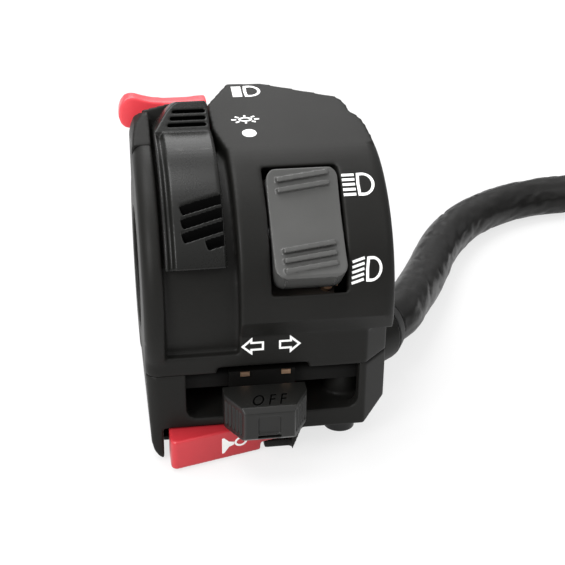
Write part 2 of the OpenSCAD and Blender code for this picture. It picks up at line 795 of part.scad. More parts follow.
module dip_pins() color(steel) on_pivot() {
  rod_x(ear_x, rocker_x + 2.8, dip_pin_r);
  rod_x(rocker_end - 2.8, ear_end, dip_pin_r);
}

module dip_plunger() color(nylon_white) on_pivot() translate([rocker_mid_x, 0, 0]) {
  rod_y(0.4, pivot_r - dip_base_top - 0.5 - plunger_r, plunger_r);
  translate([0, pivot_r - dip_base_top - 0.5 - plunger_r, 0]) sphere(plunger_r);
}

module dip_spring() color(steel) on_pivot() translate([rocker_mid_x, -3.35, 0]) rotate([-90, 0, 0])
  spring(1.05, 0.3, 3.7, 5);

module dip_wiper() color(copper) on_pivot() difference() {
  box([dip_strip_x, 0.6 + seat, -dip_contact_u - dip_contact_r],
    [dip_strip_x + dip_strip_w, 0.6 + seat + wiper_t, dip_contact_u + dip_contact_r]);
  rod_x(left_x, right_x, 2.9);
}

module dip_contact_at(u) at_angle(rocker_angle) translate([dip_strip_x + dip_strip_w / 2, 0, u]) children();

module dip_base() color(board_brown) difference() {
  at_angle(rocker_angle) box([rocker_x, -dip_base_top, -dip_base_half], [rocker_end - 0.8,
    -saddle_r - seat, dip_base_half]);
  for (u = [-dip_contact_u, dip_contact_u]) dip_contact_at(u) rod_y(-big, 0, dip_contact_r + press);
}

module dip_contacts() color(copper) for (u = [-dip_contact_u, dip_contact_u])
  dip_contact_at(u) rod_y(-pivot_r + 0.6 + wiper_t + dip_contact_u * sin(rocker_tilt) + 0.5, -saddle_r - 0.1,
    dip_contact_r);

// Turn switch
module knob_plan() polygon([[knob_x - knob_back_w / 2, -knob_back], [knob_x - knob_back_w / 2,
  -knob_back - 2.6],
  [knob_x - knob_front_w / 2, -knob_tip], [knob_x + knob_front_w / 2, -knob_tip],
  [knob_x + knob_back_w / 2, -knob_back - 2.6], [knob_x + knob_back_w / 2, -knob_back]]);

module turn_knob() color(part_black) {
  difference() {
    union() {
      along_z(knob_low, knob_top) knob_plan();
      along_z(knob_foot, knob_low + cut) intersection() {
        knob_plan();
        translate([-big, -big]) square([2 * big, big - knob_back - push_travel - gap]);
      }
    }
    // the chamfered top and bottom edges of the front
    translate([knob_x, -knob_tip, knob_top]) rotate([45, 0, 0]) box([-10, -1, -0.6], [10, 1, 1]);
    translate([knob_x, -knob_tip, knob_foot]) rotate([45, 0, 0]) box([-10, -1, -0.5], [10, 0.5, 1]);
    // the thumb recess and the notch below it
    box([knob_x - 1.9, -knob_tip - cut, knob_foot + 1.4], [knob_x + 1.9, -knob_tip + 0.4, knob_top - 1.6]);
    box([knob_x - 2, -knob_tip - cut, knob_foot + 0.6], [knob_x + 2, -knob_tip + 1, knob_foot + 1.2]);
    // the grip grooves on the slanted sides
    for (side = [-1, 1], k = [0:4]) knob_groove(side, k);
  }
  box([knob_x - peg_half, -knob_back - cut, peg_low], [knob_x + peg_half, -peg_end, peg_top]);
}

module knob_groove(side, k) let (t = 0.12 + 0.17 * k)
  translate([knob_x + side * (knob_back_w / 2 + t * (knob_front_w - knob_back_w) / 2),
    -knob_back - 2.6 - t * (knob_len - 2.6), 0]) rod_z(knob_foot + 1, knob_top - 1, 0.32);

module turn_slider() color(part_black) difference() {
  union() {
    box([knob_x - 5.8, -plate_front, tongue_low], [knob_x + 5.8, -plate_front + plate_t, -part_drop - 0.8]);
    box([knob_x - tongue_half, -plate_front, tongue_low], [knob_x + tongue_half, -tongue_back, tongue_top]);
  }
  box([knob_x - peg_half - 0.1, -plate_front - cut, peg_low - 0.1], [knob_x + peg_half + 0.1,
    -peg_end + 2.2, peg_top + 0.1]);
  translate([knob_x, turn_ball_y, 0]) rod_z(tongue_low + 0.5, tongue_top + cut, turn_ball_r + 0.1);
}

module turn_leaf() color(copper) for (side = [-1, 1]) translate([knob_x + leaf_shift + side * leaf_half, 0, 0])
  box([-0.8, -plate_front - 0.35, -part_drop - 1.7], [0.8, -plate_front - seat, -part_drop - 0.85]);

module turn_wiper() color(copper) difference() {
  box([knob_x - tongue_half + 0.3, -turn_base_front + 0.4, tongue_top + seat],
    [knob_x + tongue_half - 0.3, turn_ball_y - 2, tongue_top + seat + 0.3]);
  box([knob_x - 0.8, -big, -big], [knob_x + 0.8, turn_ball_y - 4, big]);
}

module turn_ball() color(steel) translate([knob_x, turn_ball_y, turn_base_low - 0.35]) sphere(turn_ball_r);

module turn_spring() color(steel) translate([knob_x, turn_ball_y, tongue_low + 0.55])
  spring(0.9, 0.28, turn_base_low - 0.45 - turn_ball_r - tongue_low - 0.55, 3);

module turn_push_spring() color(steel) translate([knob_x, -peg_end + 0.05, (peg_low + peg_top) / 2])
  rotate([-90, 0, 0]) spring(0.7, 0.25, 2.05, 4);

module turn_base() color(part_black) difference() {
  box([inner_left + 0.1, -turn_base_front, turn_base_low], [inner_right - 0.1, -turn_base_back, turn_base_top]);
  // the rounded front edge
  difference() {
    box([left_x, -turn_base_front - cut, turn_base_top - 1.6], [right_x, -turn_base_front + 1.6,
      turn_base_top + cut]);
    translate([0, -turn_base_front + 1.6, turn_base_top - 1.6]) rod_x(left_x, right_x, 1.6);
  }
  // the detent groove
  box([knob_x - knob_travel - 2, turn_ball_y - 1.6, turn_base_low - cut],
    [knob_x + knob_travel + 2, turn_ball_y + 1.6, turn_base_low + 1.3]);
  for (k = [-1:1]) translate([knob_x + k * knob_travel, turn_contact_y, 0]) rod_z(-big, 0,
    turn_contact_r + press);
  translate([lower_screw_at[0], lower_screw_at[1], 0]) rod_z(-big, 0, screw_r + 0.4);
}

module turn_contacts() color(copper) for (k = [-1:1])
  translate([knob_x + k * knob_travel, turn_contact_y, 0]) rod_z(turn_base_low, turn_base_top - 0.4,
    turn_contact_r);

// Horn
module horn_plan() difference() {
  union() {
    polygon([[horn_left, -front_depth - horn_out + 1.1], [horn_left + 0.3, -front_depth - horn_out + 0.5],
      [horn_left + 0.9, -front_depth - horn_out + 0.2], [horn_axis[0] - 0.4, -front_depth + 0.7],
      [horn_axis[0] + 1.6, -front_depth + 1.3], horn_axis, [horn_left + 6, horn_axis[1]],
      [horn_left, -front_depth + 1.2]]);
    translate(horn_axis) circle(2.2);
  }
  translate(horn_axis) circle(horn_pin_r + seat);
}

module horn_button() color(signal_red) difference() {
  along_z(horn_low, horn_top) horn_plan();
  box([horn_axis[0] - 3, -front_depth - cut, horn_low - cut], [big, 0, horn_lug_top + 0.35]);
}

module horn_pin() color(steel) translate([horn_axis[0], horn_axis[1], 0])
  rod_z(-foot_drop + 0.6, horn_room_top + 0.8, horn_pin_r);

module horn_spring() color(steel) translate([horn_left + 4, horn_axis[1] + 0.1, horn_room_mid])
  rotate([-90, 0, 0]) spring(0.32 * horn_room_h, 0.5, horn_room_back - horn_axis[1] - 0.2, 5);

module horn_bridge() color(copper) translate([horn_left + horn_contact_x, 0, horn_room_mid])
  box([-2.4, horn_axis[1] + seat, -0.26 * horn_room_h], [2.4, horn_axis[1] + 0.45, 0.26 * horn_room_h]);

module horn_contacts() color(copper) for (side = [-1, 1])
  translate([horn_left + horn_contact_x + side * 1.5, 0, horn_room_mid])
    rod_y(horn_axis[1] + 2.4, horn_room_back - seat, horn_contact_r);

// Pass trigger
module pass_trigger() color(signal_red) difference() {
  union() {
    along_z(pass_low, pass_high) union() {
      translate(pass_axis) circle(pass_hub_r);
      translate([pass_end - cut, pass_front])
        square([pass_axis[0] - pass_end + cut, pass_arm_t]);
    }
    along_y(pass_front, pass_front + pass_t) polygon([[pass_tip + 1.2, pass_low + 1.7], [pass_tip + 0.4,
      pass_low + 2.5],
      [pass_tip, pass_low + 3.8], [pass_tip + 0.1, pass_low + 5.2], [pass_tip + 0.5, pass_low + 6.3],
      [pass_tip + 1.2, pass_low + 7.2], [pass_tip + 2.1, pass_low + 7.6], [pass_tip + 3, pass_low + 7.5],
      [pass_tip + 4.3, pass_low + 7.05], [pass_tip + 6, pass_low + 6.6], [pass_tip + 8.4, pass_low + 6.3],
      [pass_tip + 12.4, pass_low + 6.3], [pass_end, pass_low + 6.6], [pass_end, pass_low],
      [pass_tip + 8, pass_low + 0.6]]);
  }
  translate([pass_axis[0], pass_axis[1], 0]) rod_z(pass_low - cut, pass_high + cut, pass_pin_r + seat);
}

module pass_pin() color(steel) translate([pass_axis[0], pass_axis[1], 0])
  rod_z(deck_floor - 2.9, pass_high + 1.5, pass_pin_r);

module pass_spring() color(steel) translate([-0.7, pass_rib_back + 0.1, (pass_low + pass_high) / 2])
  rotate([-90, 0, 0]) spring(0.33 * pass_arm_h, 0.36, pass_front - pass_rib_back - 0.2, 5);

module pass_bridge() color(copper) translate([pass_contact_x, 0, (pass_low + pass_high) / 2])
  box([-0.6, pass_front - 0.45, -0.46 * pass_arm_h], [0.6, pass_front - seat, 0.46 * pass_arm_h]);

module pass_contacts() color(copper) for (side = [-1, 1])
  translate([pass_contact_x, 0, (pass_low + pass_high) / 2 + side * 0.25 * pass_arm_h])
    rod_y(pass_rib_back + seat, pass_front - 1.4, 0.5);

// Outlet, wires and harness
module cable_grommet() color(part_black) difference() {
  union() {
    on_outlet(-3) cylinder(r = grommet_r, h = 3 + outlet_len + 0.1);
    on_outlet(outlet_len + 0.1) cylinder(r1 = outlet_boss_r, r2 = grommet_r - 0.3, h = 2.6);
  }
  on_outlet(-6) cylinder(r = sleeve_r + seat, h = 30);
}

wire_r = 0.9;
wire_end = sleeve_in - 1.2 * outlet_dir;
wire_routes = [
  [wire_end + [0, 0, 2.7], [13, -6.4, -15.5], [9, -5.5, -15.4], [2, -3.5, -15.6], [-8, -3.5, -15.6], [-15,
    -6, -15.6]],
  [wire_end + [-0.6, 0.8, 0.4], [12, -5.4, -17.8], [8.6, -5.4, -17.8], [1, -3.2, -17.8], [-9, -3.2, -17.8],
    [-16, -4, -17.8]],
  [wire_end + [1, -1.3, 0.7], [13.8, -7.6, -17.6], [10.2, -9.6, -17.6], [8, -12.4, -16.8], [7.6, -15, -16.4]]];

module inner_wires() color(signal_red) for (route = wire_routes) tube(route, wire_r, 6);

module harness_sleeve() color(part_black) tube(sleeve_route, sleeve_r, 12);

// The loop steps inwards steadily and then tucks its end in
function coil_radius(n) = coil_r - coil_step * n - 95 * pow(max(0, n - 0.8), 2);
function coil_point(n) = coil_at + [coil_radius(n) * sin(360 * n), coil_radius(n) * cos(360 * n), 0];
coil_rings = ceil(coil_turns * 24);
coil_path = [for (i = [0:coil_rings]) coil_point(coil_turns * i / coil_rings)];
coil_end = coil_path[coil_rings];
coil_dir = unit(coil_path[coil_rings] - coil_path[coil_rings - 1]);
coil_gap = min([for (i = [0:coil_rings],
  j = [i + 12:1:coil_rings]) norm(coil_path[i] - coil_path[j])]) - sleeve_d;
echo(coil_gap = coil_gap);

module harness_coil() color(part_black)
  tube(concat([coil_path[0] + [seat, 0, 0], coil_path[0] + [0.6, 0, 0]],
    [for (i = [1:coil_rings]) coil_path[i]],
    [coil_end + sleeve_d * coil_dir]), sleeve_r, 6);

module coil_tie() color(part_black) {
  near = coil_radius(1);
  translate([coil_at[0], coil_at[1], coil_z]) along_x(-1.4, 1.4) difference() {
    tie_outline(near, sleeve_r + tie_gap + tie_t);
    tie_outline(near, sleeve_r + tie_gap);
  }
}

module tie_outline(near, r) {
  translate([coil_r, 0]) circle(r);
  translate([near, 0]) circle(r);
  translate([near, -r]) square([coil_r - near, 2 * r]);
}

module on_connector(s) translate(coil_end + (sleeve_d + s) * coil_dir)
  rotate([0, 0, atan2(coil_dir[1], coil_dir[0])]) children();

connector_h = 2 * (coil_z - ground);
connector_w = 13;
connector_len = 20;
boot_len = 7;
socket_from = 8;
socket_wall = 1.2;
pin_len = 4;

module connector_boot() color(part_black) on_connector(seat) rotate([0, 90, 0])
  cylinder(r1 = sleeve_r, r2 = sleeve_r + 0.9, h = boot_len - 2 * seat);

module connector_body() color(nylon_white) on_connector(boot_len) difference() {
  union() {
    box([0, -connector_w / 2, -connector_h / 2], [connector_len, connector_w / 2, connector_h / 2]);
    box([6, -2.5, connector_h / 2 - cut], [16, 2.5, connector_h / 2 + 1.4]);
  }
  box([socket_from, -connector_w / 2 + socket_wall, -connector_h / 2 + socket_wall],
    [connector_len + cut, connector_w / 2 - socket_wall, connector_h / 2 - socket_wall]);
}

module connector_pins() color(copper) on_connector(boot_len)
  for (row = [-1, 1], k = [-1:1]) translate([socket_from, k * 3.4, row * 2.4]) rod_x(0, pin_len, 0.8);

front_housing();
rear_housing();
clamp_screws();
lower_screw();
light_lever();
light_slider();
light_wiper();
light_ball();
light_spring();
light_base();
light_contacts();
dip_rocker();
dip_pins();
dip_plunger();
dip_spring();
dip_wiper();
dip_base();
dip_contacts();
turn_knob();
turn_slider();
turn_leaf();
turn_wiper();
turn_ball();
turn_spring();
turn_push_spring();
turn_base();
turn_contacts();
horn_button();
horn_pin();
horn_spring();
horn_bridge();
horn_contacts();
pass_trigger();
pass_pin();
pass_spring();
pass_bridge();
pass_contacts();
cable_grommet();
inner_wires();
harness_sleeve();
harness_coil();
coil_tie();
connector_boot();
connector_body();
connector_pins();
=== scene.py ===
"""Dresses the handlebar switch cluster: softened mouldings, printed signs, harness, finishes, light and camera."""

from __future__ import annotations

import json
import logging
import math
from dataclasses import dataclass, field
from enum import Enum
from typing import Any, Sequence

import bpy
from mathutils import Matrix, Vector, noise

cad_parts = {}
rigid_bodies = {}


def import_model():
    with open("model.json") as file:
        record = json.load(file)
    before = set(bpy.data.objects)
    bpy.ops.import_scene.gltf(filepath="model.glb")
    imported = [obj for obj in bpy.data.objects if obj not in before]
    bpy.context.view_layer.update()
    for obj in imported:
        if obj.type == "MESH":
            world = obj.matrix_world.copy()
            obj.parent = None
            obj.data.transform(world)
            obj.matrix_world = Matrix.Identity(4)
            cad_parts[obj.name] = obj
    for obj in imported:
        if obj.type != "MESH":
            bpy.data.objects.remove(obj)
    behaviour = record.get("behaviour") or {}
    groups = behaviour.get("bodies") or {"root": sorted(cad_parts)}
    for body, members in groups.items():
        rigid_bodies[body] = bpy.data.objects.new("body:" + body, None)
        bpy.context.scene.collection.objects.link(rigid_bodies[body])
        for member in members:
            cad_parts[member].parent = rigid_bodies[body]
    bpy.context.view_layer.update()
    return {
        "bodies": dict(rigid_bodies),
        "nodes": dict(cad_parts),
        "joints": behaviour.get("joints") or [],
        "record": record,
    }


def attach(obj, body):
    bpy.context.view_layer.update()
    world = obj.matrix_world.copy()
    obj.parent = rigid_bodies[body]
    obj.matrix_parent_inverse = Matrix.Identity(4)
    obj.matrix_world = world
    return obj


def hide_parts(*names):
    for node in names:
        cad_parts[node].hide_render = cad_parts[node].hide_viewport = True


LOG = logging.getLogger("switch_cluster")
MM = 0.001
MERGE = 1e-6
GROUND = -27.5
Point = tuple[float, float]
Spot = tuple[float, float, float]
Loop = list[Point]
Colour = tuple[float, float, float]


class Body(Enum):
    """The bodies that the dressed pieces ride on."""

    HOUSING = "housing"
    LEVER = "light_lever"
    ROCKER = "dip_rocker"
    KNOB = "turn_knob"
    HORN = "horn_button"
    TRIGGER = "pass_trigger"


class Slot(Enum):
    """The record's slots, named beside the dressed pieces."""

    SHELL = "shell"
    LEVER = "lever"
    GREY = "grey"
    RED = "red"
    WHITE = "white"
    RUBBER = "rubber"
    SLEEVE = "sleeve"


# ---------------------------------------------------------------- shader maths
class Value:
    """A shader socket that takes part in Python arithmetic."""

    def __init__(self, graph: Graph, socket: bpy.types.NodeSocket) -> None:
        """Keeps the graph that owns the socket, and the socket."""
        self.graph = graph
        self.socket = socket

    def _math(self, operation: str, other: Any) -> Value:
        """Adds one Math node that starts from this value.

        Args:
            operation: the Math node's operation.
            other: its second value or number.

        Returns:
            The node's result.
        """
        return self.graph.node("ShaderNodeMath", {"operation": operation}, {0: self, 1: other})

    def __add__(self, other: Any) -> Value:
        """Sum."""
        return self._math("ADD", other)

    def __sub__(self, other: Any) -> Value:
        """Difference."""
        return self._math("SUBTRACT", other)

    def __mul__(self, other: Any) -> Value:
        """Product."""
        return self._math("MULTIPLY", other)

    def most(self, other: Any) -> Value:
        """The larger of two values."""
        return self._math("MAXIMUM", other)


class Graph:
    """One material's or world's node tree."""

    def __init__(self, tree: bpy.types.NodeTree) -> None:
        """Starts from an empty tree."""
        self.tree = tree
        self.tree.nodes.clear()

    def feed(self, socket: bpy.types.NodeSocket, value: Any) -> None:
        """Links a value to a socket, or sets the socket's own number or colour.

        Args:
            socket: the input to feed.
            value: a Value, a number, or a colour or vector.
        """
        if isinstance(value, Value):
            self.tree.links.new(value.socket, socket)
        elif socket.type == "RGBA" and len(value) == 3:
            socket.default_value = (*value, 1.0)
        else:
            socket.default_value = value

    def node(self, kind: str, settings: dict[str, Any] | None = None, inputs: dict[Any, Any] | None = None,
             out: Any = 0) -> Value:
        """Adds a node of any type.

        Args:
            kind: the node's type.
            settings: properties that are set first, with a ramp's stops under "stops".
            inputs: values or links of its sockets, by name or number.
            out: the output to hand on, by name or number.

        Returns:
            The chosen output.
        """
        made = self.tree.nodes.new(kind)
        for key, value in (settings or {}).items():
            if key == "stops":
                ramp = made.color_ramp
                while len(ramp.elements) < len(value):
                    ramp.elements.new(1.0)
                for element, (place, shade) in zip(ramp.elements, value):
                    element.position = place
                    element.color = (shade, shade, shade, 1.0)
            else:
                setattr(made, key, value)
        for key, value in (inputs or {}).items():
            self.feed(made.inputs[key], value)
        return Value(self, made.outputs[out])

    def blend(self, factor: Any, low: Any, high: Any) -> Value:
        """Mixes two colours.

        Args:
            factor: 0 gives low and 1 gives high.
            low: the first colour.
            high: the second colour.

        Returns:
            The mixed colour.
        """
        return self.node("ShaderNodeMix", {"data_type": "RGBA"}, {0: factor, 6: low, 7: high}, 2)

    def show(self, kind: str, surface: Value) -> None:
        """Adds the tree's output node of one kind, and shows a shader with it."""
        out = self.tree.nodes.new(kind)
        self.feed(out.inputs["Surface"], surface)


# ---------------------------------------------------------------- finishes
GRAIN_NOISE = {"Detail": 3.0, "Roughness": 0.6}
PATCH_NOISE = {"Detail": 5.0, "Roughness": 0.62}
NOISE_MEAN = 0.5
PATCH_STOPS = [(0.3, 0.0), (0.7, 1.0)]
EDGE_STOPS = [(0.51, 0.0), (0.6, 1.0)]
PATCH_ROUGH = 0.12
GRAIN_ROUGH = 0.1
WORN_ROUGH = 0.1
# Gain and lift for paler edges: partly wear, partly a painted highlight where edges catch the light.
WEAR_AND_HIGHLIGHT_GAIN = 1.7
WEAR_AND_HIGHLIGHT_LIFT = 0.01


@dataclass(frozen=True)
class Finish:
    """A moulded, drawn or plated finish with grain, patches and paler edges, in Object coordinates; the paler
    edges are partly wear and partly a painted highlight.

    Attributes:
        name: the material's name.
        colour: its linear base colour.
        roughness: its mean roughness.
        metallic: 1 for bare metal.
        grain: the scale of the fine grain.
        depth: the grain's height in millimetres.
        patch: the scale of the broad patches.
        spread: the share by which patches stray from the base colour.
        wear_and_highlight: how far edges turn paler, as wear and as a painted highlight.
        specular: the specular level.
        stretch: the scale of grain and patches along each axis.
    """

    name: str
    colour: Colour
    roughness: float = 0.5
    metallic: float = 0.0
    grain: float = 3600.0
    depth: float = 0.02
    patch: float = 85.0
    spread: float = 0.14
    wear_and_highlight: float = 0.0
    specular: float = 0.5
    stretch: Spot = (1.0, 1.0, 1.0)

    def toned(self, gain: float, lift: float = 0.0) -> Colour:
        """The base colour, multiplied and lifted."""
        return tuple(min(1.0, part * gain + lift) for part in self.colour)

    def make(self) -> bpy.types.Material:
        """Builds the material once, and hands it on afterwards.

        Returns:
            The material.
        """
        known = bpy.data.materials.get(self.name)
        if known is not None:
            return known
        material = bpy.data.materials.new(self.name)
        material.use_nodes = True
        graph = Graph(material.node_tree)
        where = graph.node("ShaderNodeTexCoord", out="Object")
        laid = graph.node("ShaderNodeMapping", {}, {"Vector": where, "Scale": self.stretch})
        grain = graph.node("ShaderNodeTexNoise", {}, {"Vector": laid, "Scale": self.grain, **GRAIN_NOISE})
        patch = graph.node("ShaderNodeTexNoise", {}, {"Vector": laid, "Scale": self.patch, **PATCH_NOISE})
        tone = graph.node("ShaderNodeValToRGB", {"stops": PATCH_STOPS}, {"Fac": patch})
        shade = graph.blend(tone, self.toned(1 - self.spread), self.toned(1 + self.spread))
        rough = (patch - NOISE_MEAN) * PATCH_ROUGH + (grain - NOISE_MEAN) * GRAIN_ROUGH + self.roughness
        # Edges found by pointiness turn paler and less rough: partly wear, partly a painted highlight.
        if self.wear_and_highlight:
            edge = graph.node("ShaderNodeNewGeometry", out="Pointiness")
            worn_and_lit_edge = graph.node("ShaderNodeValToRGB", {"stops": EDGE_STOPS}, {"Fac": edge})
            shade = graph.blend(worn_and_lit_edge * self.wear_and_highlight, shade, self.toned(WEAR_AND_HIGHLIGHT_GAIN, WEAR_AND_HIGHLIGHT_LIFT))
            rough = rough - worn_and_lit_edge * WORN_ROUGH
        bump = graph.node("ShaderNodeBump", {}, {"Strength": 1.0, "Distance": self.depth * MM, "Height": grain},
                          "Normal")
        surface = graph.node("ShaderNodeBsdfPrincipled", {}, {
            "Base Color": shade, "Roughness": rough, "Metallic": self.metallic, "Normal": bump,
            "Specular IOR Level": self.specular})
        graph.show("ShaderNodeOutputMaterial", surface)
        return material


class Finishes:
    """The finishes of this switch cluster."""

    SHELL = Finish("moulded_shell_black", (0.0095, 0.0093, 0.0085), 0.46, depth=0.018, wear_and_highlight=0.35,
                   specular=0.15)
    LEVER = Finish("moulded_lever_black", (0.0075, 0.0076, 0.007), 0.28, depth=0.008, wear_and_highlight=0.4, specular=0.24)
    KNOB = Finish("moulded_knob_black", (0.009, 0.009, 0.0083), 0.4, depth=0.012, wear_and_highlight=0.4, specular=0.36)
    GREY = Finish("moulded_rocker_grey", (0.064, 0.064, 0.062), 0.33, depth=0.012, spread=0.08, wear_and_highlight=0.2,
                  specular=0.4)
    # The horn and the trigger are one red in two copies: the horn's is darker as painted shade, and the trigger's
    # is lighter as painted light against the shadow it sits in.
    HORN = Finish("horn_red_with_painted_shade", (0.5, 0.028, 0.038), 0.32, depth=0.006, spread=0.06, wear_and_highlight=0.1,
                  specular=0.45)
    TRIGGER = Finish("trigger_red_with_painted_light", (0.87, 0.062, 0.08), 0.32, depth=0.006, spread=0.06, wear_and_highlight=0.1,
                     specular=0.45)
    PRINT = Finish("printed_white", (0.95, 0.95, 0.94), 0.55, depth=0.004, spread=0.02)
    # Near-black and dull: painted shade for the lever's grooves, its tab's slots and the knob's cut letters.
    RECESS_SHADE = Finish("painted_recess_shade", (0.0012, 0.0012, 0.0012), 0.8, depth=0.01, specular=0.04)
    # The parts' own black plastic, deepened and dulled as painted shade in the slot behind the knob.
    SLOT_BLACK_AND_SHADE = Finish("slot_black_and_painted_shade", (0.004, 0.0038, 0.0034), 0.6, depth=0.012, specular=0.16)
    NYLON = Finish("natural_nylon", (0.74, 0.73, 0.68), 0.45, depth=0.008, spread=0.05)
    BOARD = Finish("laminated_board", (0.03, 0.022, 0.015), 0.6, depth=0.02, spread=0.2,
                   stretch=(1.0, 6.0, 6.0))
    BRASS = Finish("stamped_copper", (0.92, 0.6, 0.4), 0.42, metallic=1.0, depth=0.004, spread=0.1)
    STEEL = Finish("plated_steel", (0.6, 0.6, 0.61), 0.34, metallic=1.0, depth=0.004, spread=0.1)
    BLACK_STEEL = Finish("blackened_steel", (0.03, 0.03, 0.03), 0.4, metallic=0.6, depth=0.006, spread=0.2)
    RUBBER = Finish("soft_rubber", (0.014, 0.014, 0.014), 0.62, depth=0.02, spread=0.2)
    SLEEVE = Finish("vinyl_sleeve", (0.0065, 0.0062, 0.0058), 0.36, grain=1500.0, depth=0.03, spread=0.25,
                    specular=0.26)
    WIRE = Finish("wire_insulation", (0.42, 0.03, 0.03), 0.4, depth=0.006)


# ---------------------------------------------------------------- modelling helpers
class Bench:
    """Operator steps that the pieces share."""

    @staticmethod
    def place(name: str, data: Any) -> bpy.types.Object:
        """Puts a new object into the scene, at the origin.

        Args:
            name: the object's name.
            data: its mesh, curve, light or camera.

        Returns:
            The new object.
        """
        piece = bpy.data.objects.new(name, data)
        bpy.context.scene.collection.objects.link(piece)
        return piece

    @staticmethod
    def only(piece: bpy.types.Object) -> None:
        """Deselects everything, then selects one piece and makes it active.

        Args:
            piece: the object to work on.
        """
        bpy.ops.object.select_all(action="DESELECT")
        piece.select_set(True)
        bpy.context.view_layer.objects.active = piece

    @staticmethod
    def apply(piece: bpy.types.Object, kind: str, **settings: Any) -> None:
        """Adds a modifier, sets it and applies it.

        Args:
            piece: the object to change.
            kind: the modifier's type.
            settings: the modifier's own properties.
        """
        Bench.only(piece)
        made = piece.modifiers.new(kind.lower(), kind)
        for key, value in settings.items():
            setattr(made, key, value)
        bpy.ops.object.modifier_apply(modifier=made.name)

    @staticmethod
    def tidy(piece: bpy.types.Object, near: float = MERGE, outward: bool = True) -> None:
        """Merges doubles, and turns the faces outwards unless told not to.

        Args:
            piece: the object to tidy.
            near: the merge distance in metres.
            outward: whether the faces are turned outwards.
        """
        Bench.only(piece)
        bpy.ops.object.mode_set(mode="EDIT")
        bpy.ops.mesh.select_all(action="SELECT")
        bpy.ops.mesh.remove_doubles(threshold=near)
        if outward:
            bpy.ops.mesh.normals_make_consistent(inside=False)
        bpy.ops.object.mode_set(mode="OBJECT")

    @staticmethod
    def smooth(piece: bpy.types.Object, crease: float | None = None) -> None:
        """Shades a piece smooth.

        Args:
            piece: the object to shade.
            crease: the angle in degrees past which edges stay sharp, if any do.
        """
        Bench.only(piece)
        if crease is None:
            bpy.ops.object.shade_smooth()
        else:
            bpy.ops.object.shade_smooth_by_angle(angle=math.radians(crease))

    @staticmethod
    def to_mesh(piece: bpy.types.Object) -> bpy.types.Object:
        """Turns a curve or text into a mesh.

        Args:
            piece: the curve or text.

        Returns:
            The mesh object, which is active.
        """
        Bench.only(piece)
        bpy.ops.object.convert(target="MESH")
        return bpy.context.view_layer.objects.active

    @staticmethod
    def span(piece: bpy.types.Object, axis: int) -> Point:
        """The least and the greatest place of a mesh's points along one axis."""
        places = [vertex.co[axis] for vertex in piece.data.vertices]
        return min(places), max(places)

    @staticmethod
    def dress(piece: bpy.types.Object, finish: Finish, slot: Slot, body: Body, *nodes: str) -> bpy.types.Object:
        """Gives a piece its finish and its body, and hides the nodes it stands for.

        Args:
            piece: the finished object.
            finish: its material.
            slot: the record's slot; not used.
            body: the body that it rides on.
            nodes: the CAD nodes that it replaces.

        Returns:
            The same object.
        """
        if not piece.data.materials:
            piece.data.materials.append(finish.make())
        else:
            piece.data.materials[0] = finish.make()
        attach(piece, body.value)
        if nodes:
            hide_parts(*nodes)
        LOG.info("%s: %d faces on %s", piece.name, len(piece.data.polygons), body.value)
        return piece


@dataclass
class Moulding:
    """A moulded piece: the node's own form with its edges rounded as a mould leaves them.

    Attributes:
        node: the CAD node.
        voxel: the size of the mesh's cells in millimetres.
        passes: how often the mesh is smoothed.
        keep: the share of the faces that is kept.
        factor: the strength of each smoothing.
    """

    node: str
    voxel: float
    passes: int
    keep: float = 1.0
    quick_gain: float = 1.7
    factor: float = 0.5

    def build(self, frame: dict[str, Any]) -> bpy.types.Object:
        """Copies the node's mesh, merges it and rounds its edges.

        Args:
            frame: the loaded frame.

        Returns:
            The softened piece.
        """
        piece = Bench.place(self.node + "_moulded", frame["nodes"][self.node].data.copy())
        piece.data.materials.clear()
        Bench.tidy(piece, outward=False)
        voxel = self.voxel * 1.0
        Bench.apply(piece, "REMESH", mode="VOXEL", voxel_size=voxel * MM)
        Bench.apply(piece, "SMOOTH", factor=self.factor, iterations=self.passes)
        if self.keep < 1.0:
            Bench.apply(piece, "DECIMATE", decimate_type="COLLAPSE", ratio=self.keep)
        Bench.smooth(piece)
        return piece


# ---------------------------------------------------------------- faces that carry signs
@dataclass(frozen=True)
class DrumFace:
    """The drum's round front: s runs along the bar, t is the angle in degrees above the front."""

    radius: float = 24.0

    def place(self, s: float, t: float, lift: float) -> Vector:
        """Gives the point on the drum in metres."""
        reach, angle = self.radius + lift, math.radians(t)
        return Vector((s, -reach * math.cos(angle), reach * math.sin(angle))) * MM


@dataclass(frozen=True)
class PlaneFace:
    """A flat face with its own two directions."""

    origin: Vector
    along: Vector
    across: Vector

    def place(self, s: float, t: float, lift: float) -> Vector:
        """Gives the point on the plane in metres."""
        normal = self.along.cross(self.across).normalized()
        return (self.origin + self.along * s + self.across * t + normal * lift) * MM


Face = DrumFace | PlaneFace


